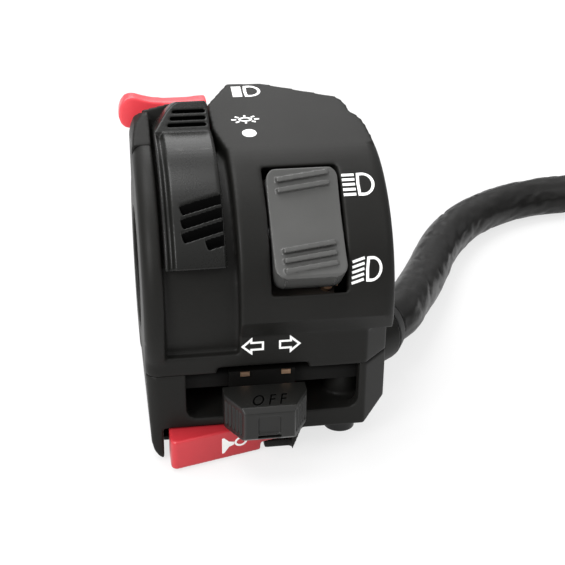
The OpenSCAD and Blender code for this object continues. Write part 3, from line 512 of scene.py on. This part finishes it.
class Outline:
    """Flat outlines that the signs are made of, in millimetres."""

    ROUND_FROM = 0.28
    CORNER = 0.02
    BULGE = 0.05

    @staticmethod
    def oval(x: float, y: float, rx: float, ry: float, count: int = 28) -> Loop:
        """An oval about a centre, as so many points."""
        turns = [2 * math.pi * i / count for i in range(count)]
        return [(x + rx * math.cos(turn), y + ry * math.sin(turn)) for turn in turns]

    @staticmethod
    def bar(x0: float, y0: float, x1: float, y1: float, width: float) -> Loop:
        """A straight stroke of one width.

        Args:
            x0: where it starts along the first direction.
            y0: where it starts along the second.
            x1: where it ends along the first direction.
            y1: where it ends along the second.
            width: its width.

        Returns:
            Its four corners.
        """
        length = math.hypot(x1 - x0, y1 - y0)
        nx, ny = (y0 - y1) / length * width / 2, (x1 - x0) / length * width / 2
        return [(x0 + nx, y0 + ny), (x0 - nx, y0 - ny), (x1 - nx, y1 - ny), (x1 + nx, y1 + ny)]

    @classmethod
    def dee(cls, left: float, right: float, low: float, high: float, count: int = 18) -> Loop:
        """A lamp's outline: a nearly straight left side and a round right side.

        Args:
            left: the left side.
            right: the round side's furthest point.
            low: the lower end.
            high: the upper end.
            count: the steps round the right side.

        Returns:
            The outline.
        """
        middle, half = (low + high) / 2, (high - low) / 2
        start = left + cls.ROUND_FROM * (right - left)
        loop = [(left, low + cls.CORNER * half)]
        for i in range(count + 1):
            a = -math.pi / 2 + math.pi * i / count
            loop.append((start + (right - start) * math.cos(a), middle + half * math.sin(a)))
        loop.append((left, high - cls.CORNER * half))
        loop.append((left - cls.BULGE * (right - left), middle))
        return loop

    @staticmethod
    def slanted(loops: list[Loop], tilt: float) -> list[Loop]:
        """Slants loops sideways by tilt per unit of height."""
        return [[(x + y * tilt, y) for x, y in loop] for loop in loops]


@dataclass
class Sign:
    """A white printed sign that lies on one face.

    Attributes:
        name: the piece's name.
        loops: its outlines.
        face: the face that it lies on.
        body: the body that it rides on.
        unit: what the face's second direction counts per millimetre.
        thick: the print's thickness in millimetres.
        lift: the height of the print's middle over the face in millimetres.
        cell: the size of the cells that let it bend, in millimetres.
        crease: the angle in degrees past which its edges stay sharp.
    """

    name: str
    loops: list[Loop]
    face: Face
    body: Body = Body.HOUSING
    unit: float = 1.0
    thick: float = 0.1
    lift: float = 0.01
    cell: float = 0.6
    crease: float = 40.0

    def flat(self) -> bpy.types.Object:
        """Fills the outlines.

        Returns:
            A flat mesh in millimetres.
        """
        curve = bpy.data.curves.new(self.name, "CURVE")
        curve.dimensions = "2D"
        curve.fill_mode = "BOTH"
        for loop in self.loops:
            spline = curve.splines.new("POLY")
            spline.points.add(len(loop) - 1)
            for point, (x, y) in zip(spline.points, loop):
                point.co = (x, y, 0.0, 1.0)
            spline.use_cyclic_u = True
        return Bench.to_mesh(Bench.place(self.name, curve))

    def divide(self, piece: bpy.types.Object) -> None:
        """Cuts a flat mesh into cells, so that it can bend.

        Args:
            piece: the flat mesh, which is active.
        """
        spans = [Bench.span(piece, axis) for axis in (0, 1)]
        bpy.ops.object.mode_set(mode="EDIT")
        for axis, (low, high) in enumerate(spans):
            for step in range(1, int((high - low) / self.cell) + 1):
                spot, way = [0.0, 0.0, 0.0], [0.0, 0.0, 0.0]
                spot[axis], way[axis] = low + self.cell * step, 1.0
                bpy.ops.mesh.select_all(action="SELECT")
                bpy.ops.mesh.bisect(plane_co=spot, plane_no=way)
        bpy.ops.object.mode_set(mode="OBJECT")

    def build(self) -> bpy.types.Object:
        """Fills the outlines, cuts them finely and lays them on the face.

        Returns:
            The finished sign.
        """
        piece = self.flat()
        self.divide(piece)
        for vertex in piece.data.vertices:
            vertex.co = self.face.place(vertex.co.x, vertex.co.y * self.unit, self.lift)
        Bench.tidy(piece)
        Bench.apply(piece, "SOLIDIFY", thickness=self.thick * MM, offset=0.0)
        Bench.smooth(piece, self.crease)
        return Bench.dress(piece, Finishes.PRINT, Slot.WHITE, self.body)


# ---------------------------------------------------------------- sub-assemblies
@dataclass
class Shells:
    """The two halves of the housing, which clamp round the handlebar."""

    front: Moulding = field(default_factory=lambda: Moulding("front_housing", 0.3, 8, 0.34))
    rear: Moulding = field(default_factory=lambda: Moulding("rear_housing", 0.3, 4, 0.34))

    def build(self, frame: dict[str, Any]) -> None:
        """Models and dresses both halves."""
        for half in (self.front, self.rear):
            Bench.dress(half.build(frame), Finishes.SHELL, Slot.SHELL, Body.HOUSING, half.node)


def inside(value: float, limits: Point) -> bool:
    """Says whether a value lies between two limits."""
    return limits[0] < value < limits[1]


@dataclass
class Controls:
    """The lever, rocker, horn button and trigger under the rider's thumb and finger.

    Attributes:
        lever: the lever's form.
        rocker: the rocker's form.
        horn: the horn button's form.
        trigger: the trigger's form.
        groove_x: the grooves' limits along the bar, in millimetres.
        groove_reach: their limits out from the bar's axis.
        groove_angle: their limits round the bar, in degrees above the front.
        tab_foot: where the tab's top face starts, as y and z.
        tab_slope: the rise of that face in degrees.
        tab_lean: how far the tab's left edge leans in per millimetre up the face.
        slot_x: the slots' limits along the bar, at the tab's foot.
        slot_under: their limits under the tab's face.
        slot_up: their limits up the tab's face.
        slot_angle: the angle above the front past which the tab lies.
    """

    lever: Moulding = field(default_factory=lambda: Moulding("light_lever", 0.16, 4, 0.7))
    rocker: Moulding = field(default_factory=lambda: Moulding("dip_rocker", 0.16, 8))
    horn: Moulding = field(default_factory=lambda: Moulding("horn_button", 0.2, 26))
    trigger: Moulding = field(default_factory=lambda: Moulding("pass_trigger", 0.2, 26))
    groove_x: Point = (-16.2, -8.75)
    groove_reach: Point = (23.2, 25.15)
    groove_angle: Point = (26.0, 62.0)
    tab_foot: Point = (0.443, 25.396)
    tab_slope: float = 39.3
    tab_lean: float = 0.385
    slot_x: Point = (-16.7775, -9.25)
    slot_under: Point = (0.12, 1.4)
    slot_up: Point = (0.7, 4.8)
    slot_angle: float = 85.0

    def build(self, frame: dict[str, Any]) -> None:
        """Models and dresses the four controls.

        Args:
            frame: the loaded frame.
        """
        lever = self.lever.build(frame)
        lever.data.materials.append(Finishes.LEVER.make())
        self.paint_recess_shade(lever)
        for piece, finish, slot, body in (
                (lever, Finishes.LEVER, Slot.LEVER, Body.LEVER),
                (self.rocker.build(frame), Finishes.GREY, Slot.GREY, Body.ROCKER),
                (self.horn.build(frame), Finishes.HORN, Slot.RED, Body.HORN),
                (self.trigger.build(frame), Finishes.TRIGGER, Slot.RED, Body.TRIGGER)):
            Bench.dress(piece, finish, slot, body, body.value)

    def paint_recess_shade(self, piece: bpy.types.Object) -> None:
        """Paints the lever's stepped grooves and the slots in its tab near-black, as painted shade in the
        recesses.

        Args:
            piece: the softened lever, with its own finish first.
        """
        piece.data.materials.append(Finishes.RECESS_SHADE.make())
        for face in piece.data.polygons:
            if self.recessed(face.center / MM):
                face.material_index = 1

    def recessed(self, spot: Vector) -> bool:
        """Says whether a spot on the lever lies in a groove or a slot.

        Args:
            spot: the place in millimetres.

        Returns:
            True in a recess.
        """
        x, y, z = spot
        angle = math.degrees(math.atan2(z, -y))
        if (inside(x, self.groove_x) and inside(math.hypot(y, z), self.groove_reach)
                and inside(angle, self.groove_angle)):
            return True
        back, over = y - self.tab_foot[0], z - self.tab_foot[1]
        rise = math.radians(self.tab_slope)
        up = back * math.cos(rise) + over * math.sin(rise)
        under = back * math.sin(rise) - over * math.cos(rise)
        left, right = self.slot_x
        return (inside(x, (left + self.tab_lean * up, right)) and inside(under, self.slot_under)
                and inside(up, self.slot_up) and angle > self.slot_angle)


@dataclass
class TurnKnob:
    """The sliding knob, with a word cut into its top.

    Attributes:
        moulding: the knob's form.
        word: the word.
        slant: how far its letters lean.
        spacing: the space between its letters.
        top: the height of the knob's top in millimetres.
        left: the word's left end.
        right: its right end.
        front: its lower side.
        back: its upper side.
        cut: how deep it is cut.
        crease: the angle in degrees past which edges stay sharp.
    """

    moulding: Moulding = field(default_factory=lambda: Moulding("turn_knob", 0.15, 4))
    word: str = "OFF"
    slant: float = 0.42
    spacing: float = 1.5
    top: float = -13.0
    left: float = -5.0
    right: float = 1.2
    front: float = -29.0
    back: float = -25.8
    cut: float = 0.6
    crease: float = 35.0

    def letters(self) -> bpy.types.Object:
        """Makes the slanted letters as a cutting tool.

        Returns:
            The cutter, in place above and in the knob's top.
        """
        bpy.ops.object.select_all(action="DESELECT")
        bpy.ops.object.text_add()
        tool = bpy.context.object
        for key, value in (("body", self.word), ("shear", self.slant), ("space_character", self.spacing),
                           ("extrude", 1.0), ("resolution_u", 6)):
            setattr(tool.data, key, value)
        tool = Bench.to_mesh(tool)
        (x0, x1), (y0, y1) = Bench.span(tool, 0), Bench.span(tool, 1)
        for vertex in tool.data.vertices:
            across = (vertex.co.x - x0) / (x1 - x0)
            along = (vertex.co.y - y0) / (y1 - y0)
            vertex.co = Vector((self.left + across * (self.right - self.left),
                                self.front + along * (self.back - self.front),
                                self.top + self.cut * vertex.co.z)) * MM
        # The letters' cut faces take a near-black, dull finish as painted shade.
        tool.data.materials.append(Finishes.RECESS_SHADE.make())
        Bench.tidy(tool, MERGE / 10)
        return tool

    def build(self, frame: dict[str, Any]) -> None:
        """Models the knob and cuts the letters into it.

        Args:
            frame: the loaded frame.
        """
        piece = self.moulding.build(frame)
        piece.data.materials.append(Finishes.KNOB.make())
        tool = self.letters()
        Bench.apply(piece, "BOOLEAN", operation="DIFFERENCE", solver="EXACT", object=tool,
                    material_mode="TRANSFER")
        bpy.data.objects.remove(tool)
        Bench.smooth(piece, self.crease)
        Bench.dress(piece, Finishes.KNOB, Slot.LEVER, Body.KNOB, self.moulding.node)


@dataclass
class Signs:
    """The printed signs beside the switches.

    Attributes:
        deck_tilt: the deck's rise towards the back, in degrees.
        high_at: the angle of the high beam's sign above the drum's front, in degrees.
        low_at: the angle of the low beam's sign.
        panel: how far in front of the bar's axis the arrow panel stands, in millimetres.
    """

    deck_tilt: float = 9.5
    high_at: float = 56.4
    low_at: float = 19.8
    panel: float = 22.0

    def deck(self, drum: DrumFace) -> PlaneFace:
        """The sloping deck on top, which meets the drum.

        Args:
            drum: the drum's front.

        Returns:
            The face, with s along the bar and t towards the back as seen from above.
        """
        tilt = math.radians(self.deck_tilt)
        across = Vector((0.0, 1.0, math.tan(tilt)))
        return PlaneFace(Vector((0.0, 0.0, drum.radius / math.cos(tilt))), Vector((1.0, 0.0, 0.0)), across)

    def horn_face(self) -> PlaneFace:
        """The horn button's slanting front."""
        along = Vector((18.8, 5.0, 0.0)).normalized()
        return PlaneFace(Vector((-19.0, -26.3, 0.0)), along, Vector((0.0, 0.0, 1.0)))

    def high_beam(self) -> list[Loop]:
        """Five level rays and a lamp.

        Returns:
            The outlines about the sign's own height.
        """
        loops = [Outline.bar(12.2, y, 14.35, y, 0.5) for y in (-1.95, -0.98, 0.0, 0.98, 1.95)]
        loops += [Outline.dee(14.75, 17.7, -2.3, 2.3), Outline.dee(15.2, 17.2, -1.78, 1.78)]
        return Outline.slanted([[(x, y - 0.2) for x, y in loop] for loop in loops], 0.03)

    def low_beam(self) -> list[Loop]:
        """Five rays that dip and a lamp.

        Returns:
            The outlines about the sign's own height.
        """
        loops = [Outline.bar(12.45, y - 0.62, 14.5, y, 0.46) for y in (-1.5, -0.6, 0.3, 1.2, 2.1)]
        loops += [Outline.dee(14.95, 17.6, -2.0, 2.3), Outline.dee(15.4, 17.15, -1.5, 1.8)]
        return Outline.slanted(loops, 0.08)

    def parking(self, rays: int = 8) -> list[Loop]:
        """A small ring with rays.

        Args:
            rays: the number of rays.

        Returns:
            The outlines on the deck.
        """
        x, y = -2.0, 5.45
        loops = [Outline.oval(x, y, 1.25, 0.74), Outline.oval(x, y, 0.8, 0.4)]
        for i in range(rays):
            c, s = math.cos(2 * math.pi * i / rays), math.sin(2 * math.pi * i / rays)
            loops.append(Outline.bar(x + 1.6 * c, y + 0.95 * s, x + 2.5 * c, y + 1.4 * s, 0.4))
        return loops

    def headlamp(self) -> list[Loop]:
        """Five broad rays and a lamp."""
        loops = [Outline.bar(-3.2, y, -1.45, y, 0.66) for y in (14.0, 14.78, 15.56, 16.34, 17.12)]
        return loops + [Outline.dee(-0.96, 2.08, 13.55, 17.6), Outline.dee(-0.45, 1.55, 14.1, 17.05)]

    def arrow(self, tip: float, tail: float) -> list[Loop]:
        """A hollow arrow.

        Args:
            tip: where its point is along the bar, in millimetres.
            tail: where its shaft ends.

        Returns:
            Its outer and its inner outline.
        """
        way = 1.0 if tail > tip else -1.0
        z, high, neck, line = -5.5, 1.75, 0.85, 0.36
        head = tip + way * 1.95
        outer = [(tip, z), (head, z + high), (head, z + neck), (tail, z + neck), (tail, z - neck),
                 (head, z - neck), (head, z - high)]
        base, end = head - way * line, tail - way * line
        wing, shaft = high - 0.85, neck - line
        inner = [(tip + way * 0.55, z), (base, z + wing), (base, z + shaft), (end, z + shaft), (end, z - shaft),
                 (base, z - shaft), (base, z - wing)]
        return [outer, inner]

    def horn(self) -> list[Loop]:
        """A hand horn: a flared bell and a bulb."""
        bell = [(9.4, -22.7), (9.8, -22.7), (10.7, -23.6), (11.7, -23.9), (11.7, -24.4), (10.7, -24.7),
                (9.8, -25.8), (9.4, -25.8)]
        return [bell, Outline.oval(12.95, -24.1, 1.2, 0.95, 24), Outline.oval(12.95, -24.1, 0.8, 0.58, 24)]

    def build(self) -> None:
        """Prints every sign.

        The beam signs bend round the drum, and the others lie on flat faces.
        """
        drum = DrumFace()
        turn = math.degrees(1 / drum.radius)
        for name, loops, middle in (("high_beam_sign", self.high_beam(), self.high_at),
                                    ("low_beam_sign", self.low_beam(), self.low_at)):
            laid = [[(x, y + middle / turn) for x, y in loop] for loop in loops]
            Sign(name, laid, drum, unit=turn).build()
        deck = self.deck(drum)
        Sign("parking_sign", self.parking(), deck).build()
        Sign("lamps_off_dot", [Outline.oval(-1.86, 0.7, 1.28, 1.3)], deck).build()
        Sign("headlamp_sign", self.headlamp(), deck).build()
        front = PlaneFace(Vector((0.0, -self.panel, 0.0)), Vector((1.0, 0.0, 0.0)), Vector((0.0, 0.0, 1.0)))
        Sign("left_turn_sign", self.arrow(-6.26, -2.31), front).build()
        Sign("right_turn_sign", self.arrow(4.11, 0.29), front).build()
        Sign("horn_sign", self.horn(), self.horn_face(), Body.HORN).build()


@dataclass(frozen=True)
class Crinkle:
    """One size of dent in the sleeve, from noise that runs along it.

    Attributes:
        turn: the noise's scale round the sleeve.
        length: the millimetres of sleeve per unit of noise.
        start: where the noise starts.
        drift: how the dents wander across the sleeve per millimetre.
        limit: the noise under which the sleeve dents.
        depth: the dent's depth in millimetres per unit of noise.
        crease: whether the dents follow the noise's zero line.
    """

    turn: float
    length: float
    start: float
    drift: Point
    limit: float
    depth: float
    crease: bool = True

    def dent(self, run: float, angle: float) -> float:
        """Gives the dent's depth at one place.

        Args:
            run: the place along the sleeve in millimetres.
            angle: the place round it in radians.

        Returns:
            The depth in millimetres.
        """
        level = noise.noise(Vector((self.turn * math.cos(angle) + self.drift[0] * run,
                                    self.turn * math.sin(angle) + self.drift[1] * run,
                                    run / self.length + self.start)))
        return self.depth * max(0.0, self.limit - (abs(level) if self.crease else level))


@dataclass
class Harness:
    """The sleeved harness, from the grommet along the bench to its connector.

    Attributes:
        diameter: the sleeve's diameter in millimetres.
        step: the spacing of its rings.
        sides: the points in each ring.
        start: where it leaves the grommet.
        lie: the height of its middle where it lies on the bench.
        coil: that height in the loop.
        loop_at: the loop's centre.
        loop_reach: the loop's radius where it starts.
        loop_turns: how many turns it takes.
        loop_points: the points along it.
        wind: how far the loop winds in per turn.
        tuck_from: the turn from which its end tucks in.
        tuck: how strongly it tucks in.
        fineness: the steps between two points of the route.
        crinkles: the dents in the sleeve.
        deepest: the deepest dent.
    """

    diameter: float = 9.6
    step: float = 0.8
    sides: int = 40
    start: Spot = (25.7, 5.525, -18.6)
    lie: float = -22.7
    coil: float = -21.4
    loop_at: Point = (131.0, 15.0)
    loop_reach: float = 57.0
    loop_turns: float = 1.15
    loop_points: int = 28
    wind: float = 11.0
    tuck_from: float = 0.8
    tuck: float = 95.0
    fineness: int = 24
    crinkles: tuple[Crinkle, ...] = (Crinkle(1.1, 21.0, 0.0, (0.0, 0.0), 0.3, 0.3, crease=False),
                                     Crinkle(1.9, 8.5, 7.0, (0.05, -0.04), 0.17, 1.7),
                                     Crinkle(3.4, 4.2, 19.0, (0.0, 0.1), 0.13, 0.7))
    deepest: float = 0.8

    def route(self) -> list[Vector]:
        """Lays the lead along the bench and into its loop.

        Returns:
            The route's points in millimetres.
        """
        lie, coil = self.lie, self.coil
        points = [self.start, (29.4, 9.4, -18.9), (32.8, 15.4, -19.6), (37.0, 24.0, -20.8), (41.5, 33.4, -21.8),
                  (46.0, 42.8, -22.5), (51.0, 51.2, lie), (57.5, 59.0, lie), (66.0, 65.6, lie),
                  (76.0, 69.8, lie), (88.0, 71.6, lie), (101.0, 72.0, coil - 0.9), (116.0, 72.0, coil),
                  (131.0, 72.0, coil)]
        for i in range(1, self.loop_points + 1):
            n = self.loop_turns * i / self.loop_points
            reach = self.loop_reach - self.wind * n - self.tuck * max(0.0, n - self.tuck_from) ** 2
            angle = 2 * math.pi * n
            points.append((self.loop_at[0] + reach * math.sin(angle), self.loop_at[1] + reach * math.cos(angle),
                           coil))
        line = [Vector(p) for p in points]
        line.append(line[-1] + (line[-1] - line[-2]).normalized() * self.diameter)
        return line

    def centreline(self) -> list[Vector]:
        """Rounds the route into one smooth line of even steps.

        Returns:
            The line's points in millimetres.
        """
        route = self.route()
        fine: list[Vector] = []
        for i in range(len(route) - 1):
            p0, p1 = route[max(0, i - 1)], route[i]
            p2, p3 = route[i + 1], route[min(len(route) - 1, i + 2)]
            for k in range(self.fineness):
                t = k / self.fineness
                fine.append(0.5 * ((2 * p1) + (p2 - p0) * t + (2 * p0 - 5 * p1 + 4 * p2 - p3) * t ** 2
                                   + (3 * p1 - p0 - 3 * p2 + p3) * t ** 3))
        fine.append(route[-1])
        even, left = [fine[0]], self.step
        for a, b in zip(fine, fine[1:]):
            span = (b - a).length
            done = 0.0
            while span - done >= left:
                done += left
                even.append(a.lerp(b, done / span))
                left = self.step
            left -= span - done
        even.append(fine[-1])
        return even

    def radius(self, run: float, angle: float) -> float:
        """The crinkled sleeve's radius at a run along it and an angle round it, in millimetres."""
        dent = sum(crinkle.dent(run, angle) for crinkle in self.crinkles)
        return self.diameter / 2 - min(self.deepest, dent)

    def sleeve(self, line: Sequence[Vector]) -> bpy.types.Object:
        """Models the sleeve round its centreline.

        Args:
            line: the centreline in millimetres.

        Returns:
            The closed sleeve.
        """
        points, faces = [], []
        for i, middle in enumerate(line):
            way = (line[min(i + 1, len(line) - 1)] - line[max(i - 1, 0)]).normalized()
            side = way.cross(Vector((0.0, 0.0, 1.0))).normalized()
            up = side.cross(way)
            for k in range(self.sides):
                angle = 2 * math.pi * k / self.sides
                reach = self.radius(i * self.step, angle)
                points.append((middle + side * (reach * math.cos(angle)) + up * (reach * math.sin(angle))) * MM)
        for i in range(len(line) - 1):
            for k in range(self.sides):
                a, b = i * self.sides + k, i * self.sides + (k + 1) % self.sides
                faces.append((a, b, b + self.sides, a + self.sides))
        faces.append(tuple(reversed(range(self.sides))))
        faces.append(tuple(range(len(points) - self.sides, len(points))))
        mesh = bpy.data.meshes.new("harness_lead")
        mesh.from_pydata(points, [], faces)
        piece = Bench.place("harness_lead", mesh)
        Bench.tidy(piece)
        Bench.smooth(piece)
        return piece

    def build(self) -> None:
        """The sleeve stands for the lead and for its coil.
        """
        line = self.centreline()
        piece = self.sleeve(line)
        Bench.dress(piece, Finishes.SLEEVE, Slot.SLEEVE, Body.HOUSING, "harness_sleeve", "harness_coil")
        self.declare(line)

    def declare(self, line: Sequence[Vector]) -> None:
        """Args:
            line: its centreline in millimetres.
        """
        length = sum((b - a).length for a, b in zip(line, line[1:]))
        [v * MM for v in line[0]]
        [[v * MM for v in p] for p in line[::2]]


class Fittings:
    """The grommet, connector and small metal and nylon pieces."""

    SOFT = ((Moulding("cable_grommet", 0.25, 4), Finishes.RUBBER, Slot.RUBBER),
            (Moulding("connector_boot", 0.2, 4), Finishes.RUBBER, Slot.RUBBER),
            (Moulding("connector_body", 0.2, 3), Finishes.KNOB, Slot.LEVER))
    # Some finishes carry painted light: the slot black is deepened as painted shade, and the horn and trigger reds
    # are shaded and lit copies of one red.
    KINDS = ((Finishes.SLOT_BLACK_AND_SHADE, ("turn_base", "turn_slider")),
             (Finishes.BRASS, ("contacts", "bridge", "wiper", "leaf", "connector_pins")),
             (Finishes.BOARD, ("base",)),
             (Finishes.BLACK_STEEL, ("lower_screw",)),
             (Finishes.STEEL, ("screw", "spring", "ball", "pin")),
             (Finishes.NYLON, ("light_slider", "plunger")),
             (Finishes.WIRE, ("wires",)),
             (Finishes.RUBBER, ("grommet", "boot")),
             (Finishes.SLEEVE, ("harness",)),
             (Finishes.GREY, ("rocker",)),
             (Finishes.HORN, ("horn_button",)),
             (Finishes.TRIGGER, ("trigger",)),
             (Finishes.LEVER, ("lever",)),
             (Finishes.KNOB, ("tie", "knob")))

    def build(self, frame: dict[str, Any]) -> None:
        """Models and dresses the soft-edged fittings."""
        for form, finish, slot in self.SOFT:
            Bench.dress(form.build(frame), finish, slot, Body.HOUSING, form.node)

    def finish(self, frame: dict[str, Any]) -> None:
        """Gives each CAD node a finish by what it is made of, or else the shell's.

        Args:
            frame: the loaded frame.
        """
        for name, piece in frame["nodes"].items():
            chosen = next((finish for finish, keys in self.KINDS if any(key in name for key in keys)),
                          Finishes.SHELL)
            for place in piece.material_slots:
                place.material = chosen.make()
            if not piece.material_slots:
                piece.data.materials.append(chosen.make())
            LOG.info("%s: %s", name, chosen.name)


# ---------------------------------------------------------------- light and camera
@dataclass(frozen=True)
class Lamp:
    """A soft round lamp that faces the origin, with its place and size in millimetres and its power in watts."""

    name: str
    place: Spot
    size: float
    power: float

    def build(self) -> None:
        """Hangs the lamp.

        It is a disk, which gives round soft highlights.
        """
        data = bpy.data.lights.new(self.name, "AREA")
        data.shape = "DISK"
        data.size = self.size * MM
        data.energy = self.power
        lamp = Bench.place(self.name, data)
        lamp.location = Vector(self.place) * MM
        lamp.rotation_euler = (-lamp.location).to_track_quat("-Z", "Y").to_euler()


@dataclass
class Studio:
    """The pale bench, the soft light and the camera.

    Attributes:
        azimuth: the camera's turn about the object, in degrees.
        elevation: its height over the bench, in degrees.
        roll: its roll, in degrees.
        lens: its focal length in millimetres.
        sensor: its sensor's width in millimetres.
        near: its nearest visible distance in metres.
        eye: its place in millimetres.
        lamps: the lamps above, in front, behind and at the right.
        sky_gain: how much brighter the surround is overhead than at the horizon.
        sky_low: its brightness at the horizon.
        bench_size: the bench top's width in metres.
        bench_gap: how far it lies under the object, in millimetres.
        bench_grey: its own shade.
        bench_glow: how far it looks white.
    """

    azimuth: float = -9.0
    elevation: float = 27.5
    roll: float = 0.7
    lens: float = 82.83
    sensor: float = 36.0
    near: float = 0.01
    eye: Spot = (-29.36, -212.2, 106.68)
    lamps: tuple[Lamp, ...] = (Lamp("key_lamp", (-150.0, 60.0, 540.0), 360.0, 2.0),
                               Lamp("front_lamp", (-330.0, -330.0, 300.0), 240.0, 1.7),
                               Lamp("back_lamp", (40.0, 430.0, 400.0), 320.0, 0.75),
                               Lamp("fill_lamp", (330.0, -260.0, 330.0), 300.0, 0.3))
    sky_gain: float = 0.98
    sky_low: float = 0.17
    bench_size: float = 30.0
    bench_gap: float = 0.02
    bench_grey: float = 0.8
    bench_glow: float = 0.74

    def camera(self) -> None:
        """Sets the camera at the photograph's viewing angle.

        Its own axes come from the azimuth and the elevation, and are then rolled.
        """
        a, e, r = (math.radians(v) for v in (self.azimuth, self.elevation, self.roll))
        right = Vector((math.cos(a), math.sin(a), 0.0))
        up = Vector((-math.sin(a) * math.sin(e), math.cos(a) * math.sin(e), math.cos(e)))
        ahead = Vector((-math.sin(a) * math.cos(e), math.cos(a) * math.cos(e), -math.sin(e)))
        across = math.cos(r) * right + math.sin(r) * up
        upward = math.cos(r) * up - math.sin(r) * right
        data = bpy.data.cameras.new("photo_camera")
        data.lens = self.lens
        data.sensor_width = self.sensor
        data.clip_start = self.near
        piece = Bench.place("photo_camera", data)
        turn = Matrix((across, upward, -ahead)).transposed().to_4x4()
        piece.matrix_world = Matrix.Translation(Vector(self.eye) * MM) @ turn
        bpy.context.scene.camera = piece

    def bench(self) -> None:
        """Lays the white bench top, which keeps the shadow.

        It looks white to the camera, and in what metal and gloss reflect.
        """
        bpy.ops.object.select_all(action="DESELECT")
        bpy.ops.mesh.primitive_plane_add(size=self.bench_size, location=(0.0, 0.0, 0.0))
        piece = bpy.context.object
        piece.name = "bench_top"
        for vertex in piece.data.vertices:
            vertex.co.z = (GROUND - self.bench_gap) * MM
        material = bpy.data.materials.new("white_bench")
        material.use_nodes = True
        graph = Graph(material.node_tree)
        seen = graph.node("ShaderNodeLightPath", out="Is Camera Ray")
        gloss = graph.node("ShaderNodeLightPath", out="Is Glossy Ray")
        through = graph.node("ShaderNodeLightPath", out="Is Transmission Ray")
        glow = graph.node("ShaderNodeEmission", {}, {"Color": (1.0, 1.0, 1.0), "Strength": 1.0})
        matt = graph.node("ShaderNodeBsdfDiffuse", {}, {"Color": (self.bench_grey,) * 3})
        share = seen.most(gloss).most(through) * self.bench_glow
        graph.show("ShaderNodeOutputMaterial", graph.node("ShaderNodeMixShader", {}, {0: share, 1: matt, 2: glow}))
        piece.data.materials.append(material)

    def light(self) -> None:
        """Sets a white surround that is brighter overhead, and hangs the lamps.

        The surround goes by height alone, so that it looks the same from every side.
        """
        world = bpy.data.worlds.new("soft_surround")
        bpy.context.scene.world = world
        world.use_nodes = True
        graph = Graph(world.node_tree)
        way = graph.node("ShaderNodeTexCoord", out="Generated")
        height = graph.node("ShaderNodeSeparateXYZ", {}, {0: way}, "Z")
        strength = height.most(0.0) * self.sky_gain + self.sky_low
        sky = graph.node("ShaderNodeBackground", {}, {"Color": (1.0, 1.0, 1.0), "Strength": strength})
        graph.show("ShaderNodeOutputWorld", sky)
        for lamp in self.lamps:
            lamp.build()

    def build(self) -> None:
        """Sets up the camera, the light and the bench.

        Colours are shown by the Standard view transform.
        """
        self.camera()
        self.light()
        self.bench()
        bpy.context.scene.view_settings.view_transform = "Standard"


def main() -> None:
    """Builds and dresses the whole switch cluster.
    """
    logging.basicConfig(level=logging.INFO, format="%(message)s")
    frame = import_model()
    Studio().build()
    fittings = Fittings()
    fittings.finish(frame)
    fittings.build(frame)
    Harness().build()
    Shells().build(frame)
    Controls().build(frame)
    TurnKnob().build(frame)
    Signs().build()


if __name__ == "__main__":
    main()
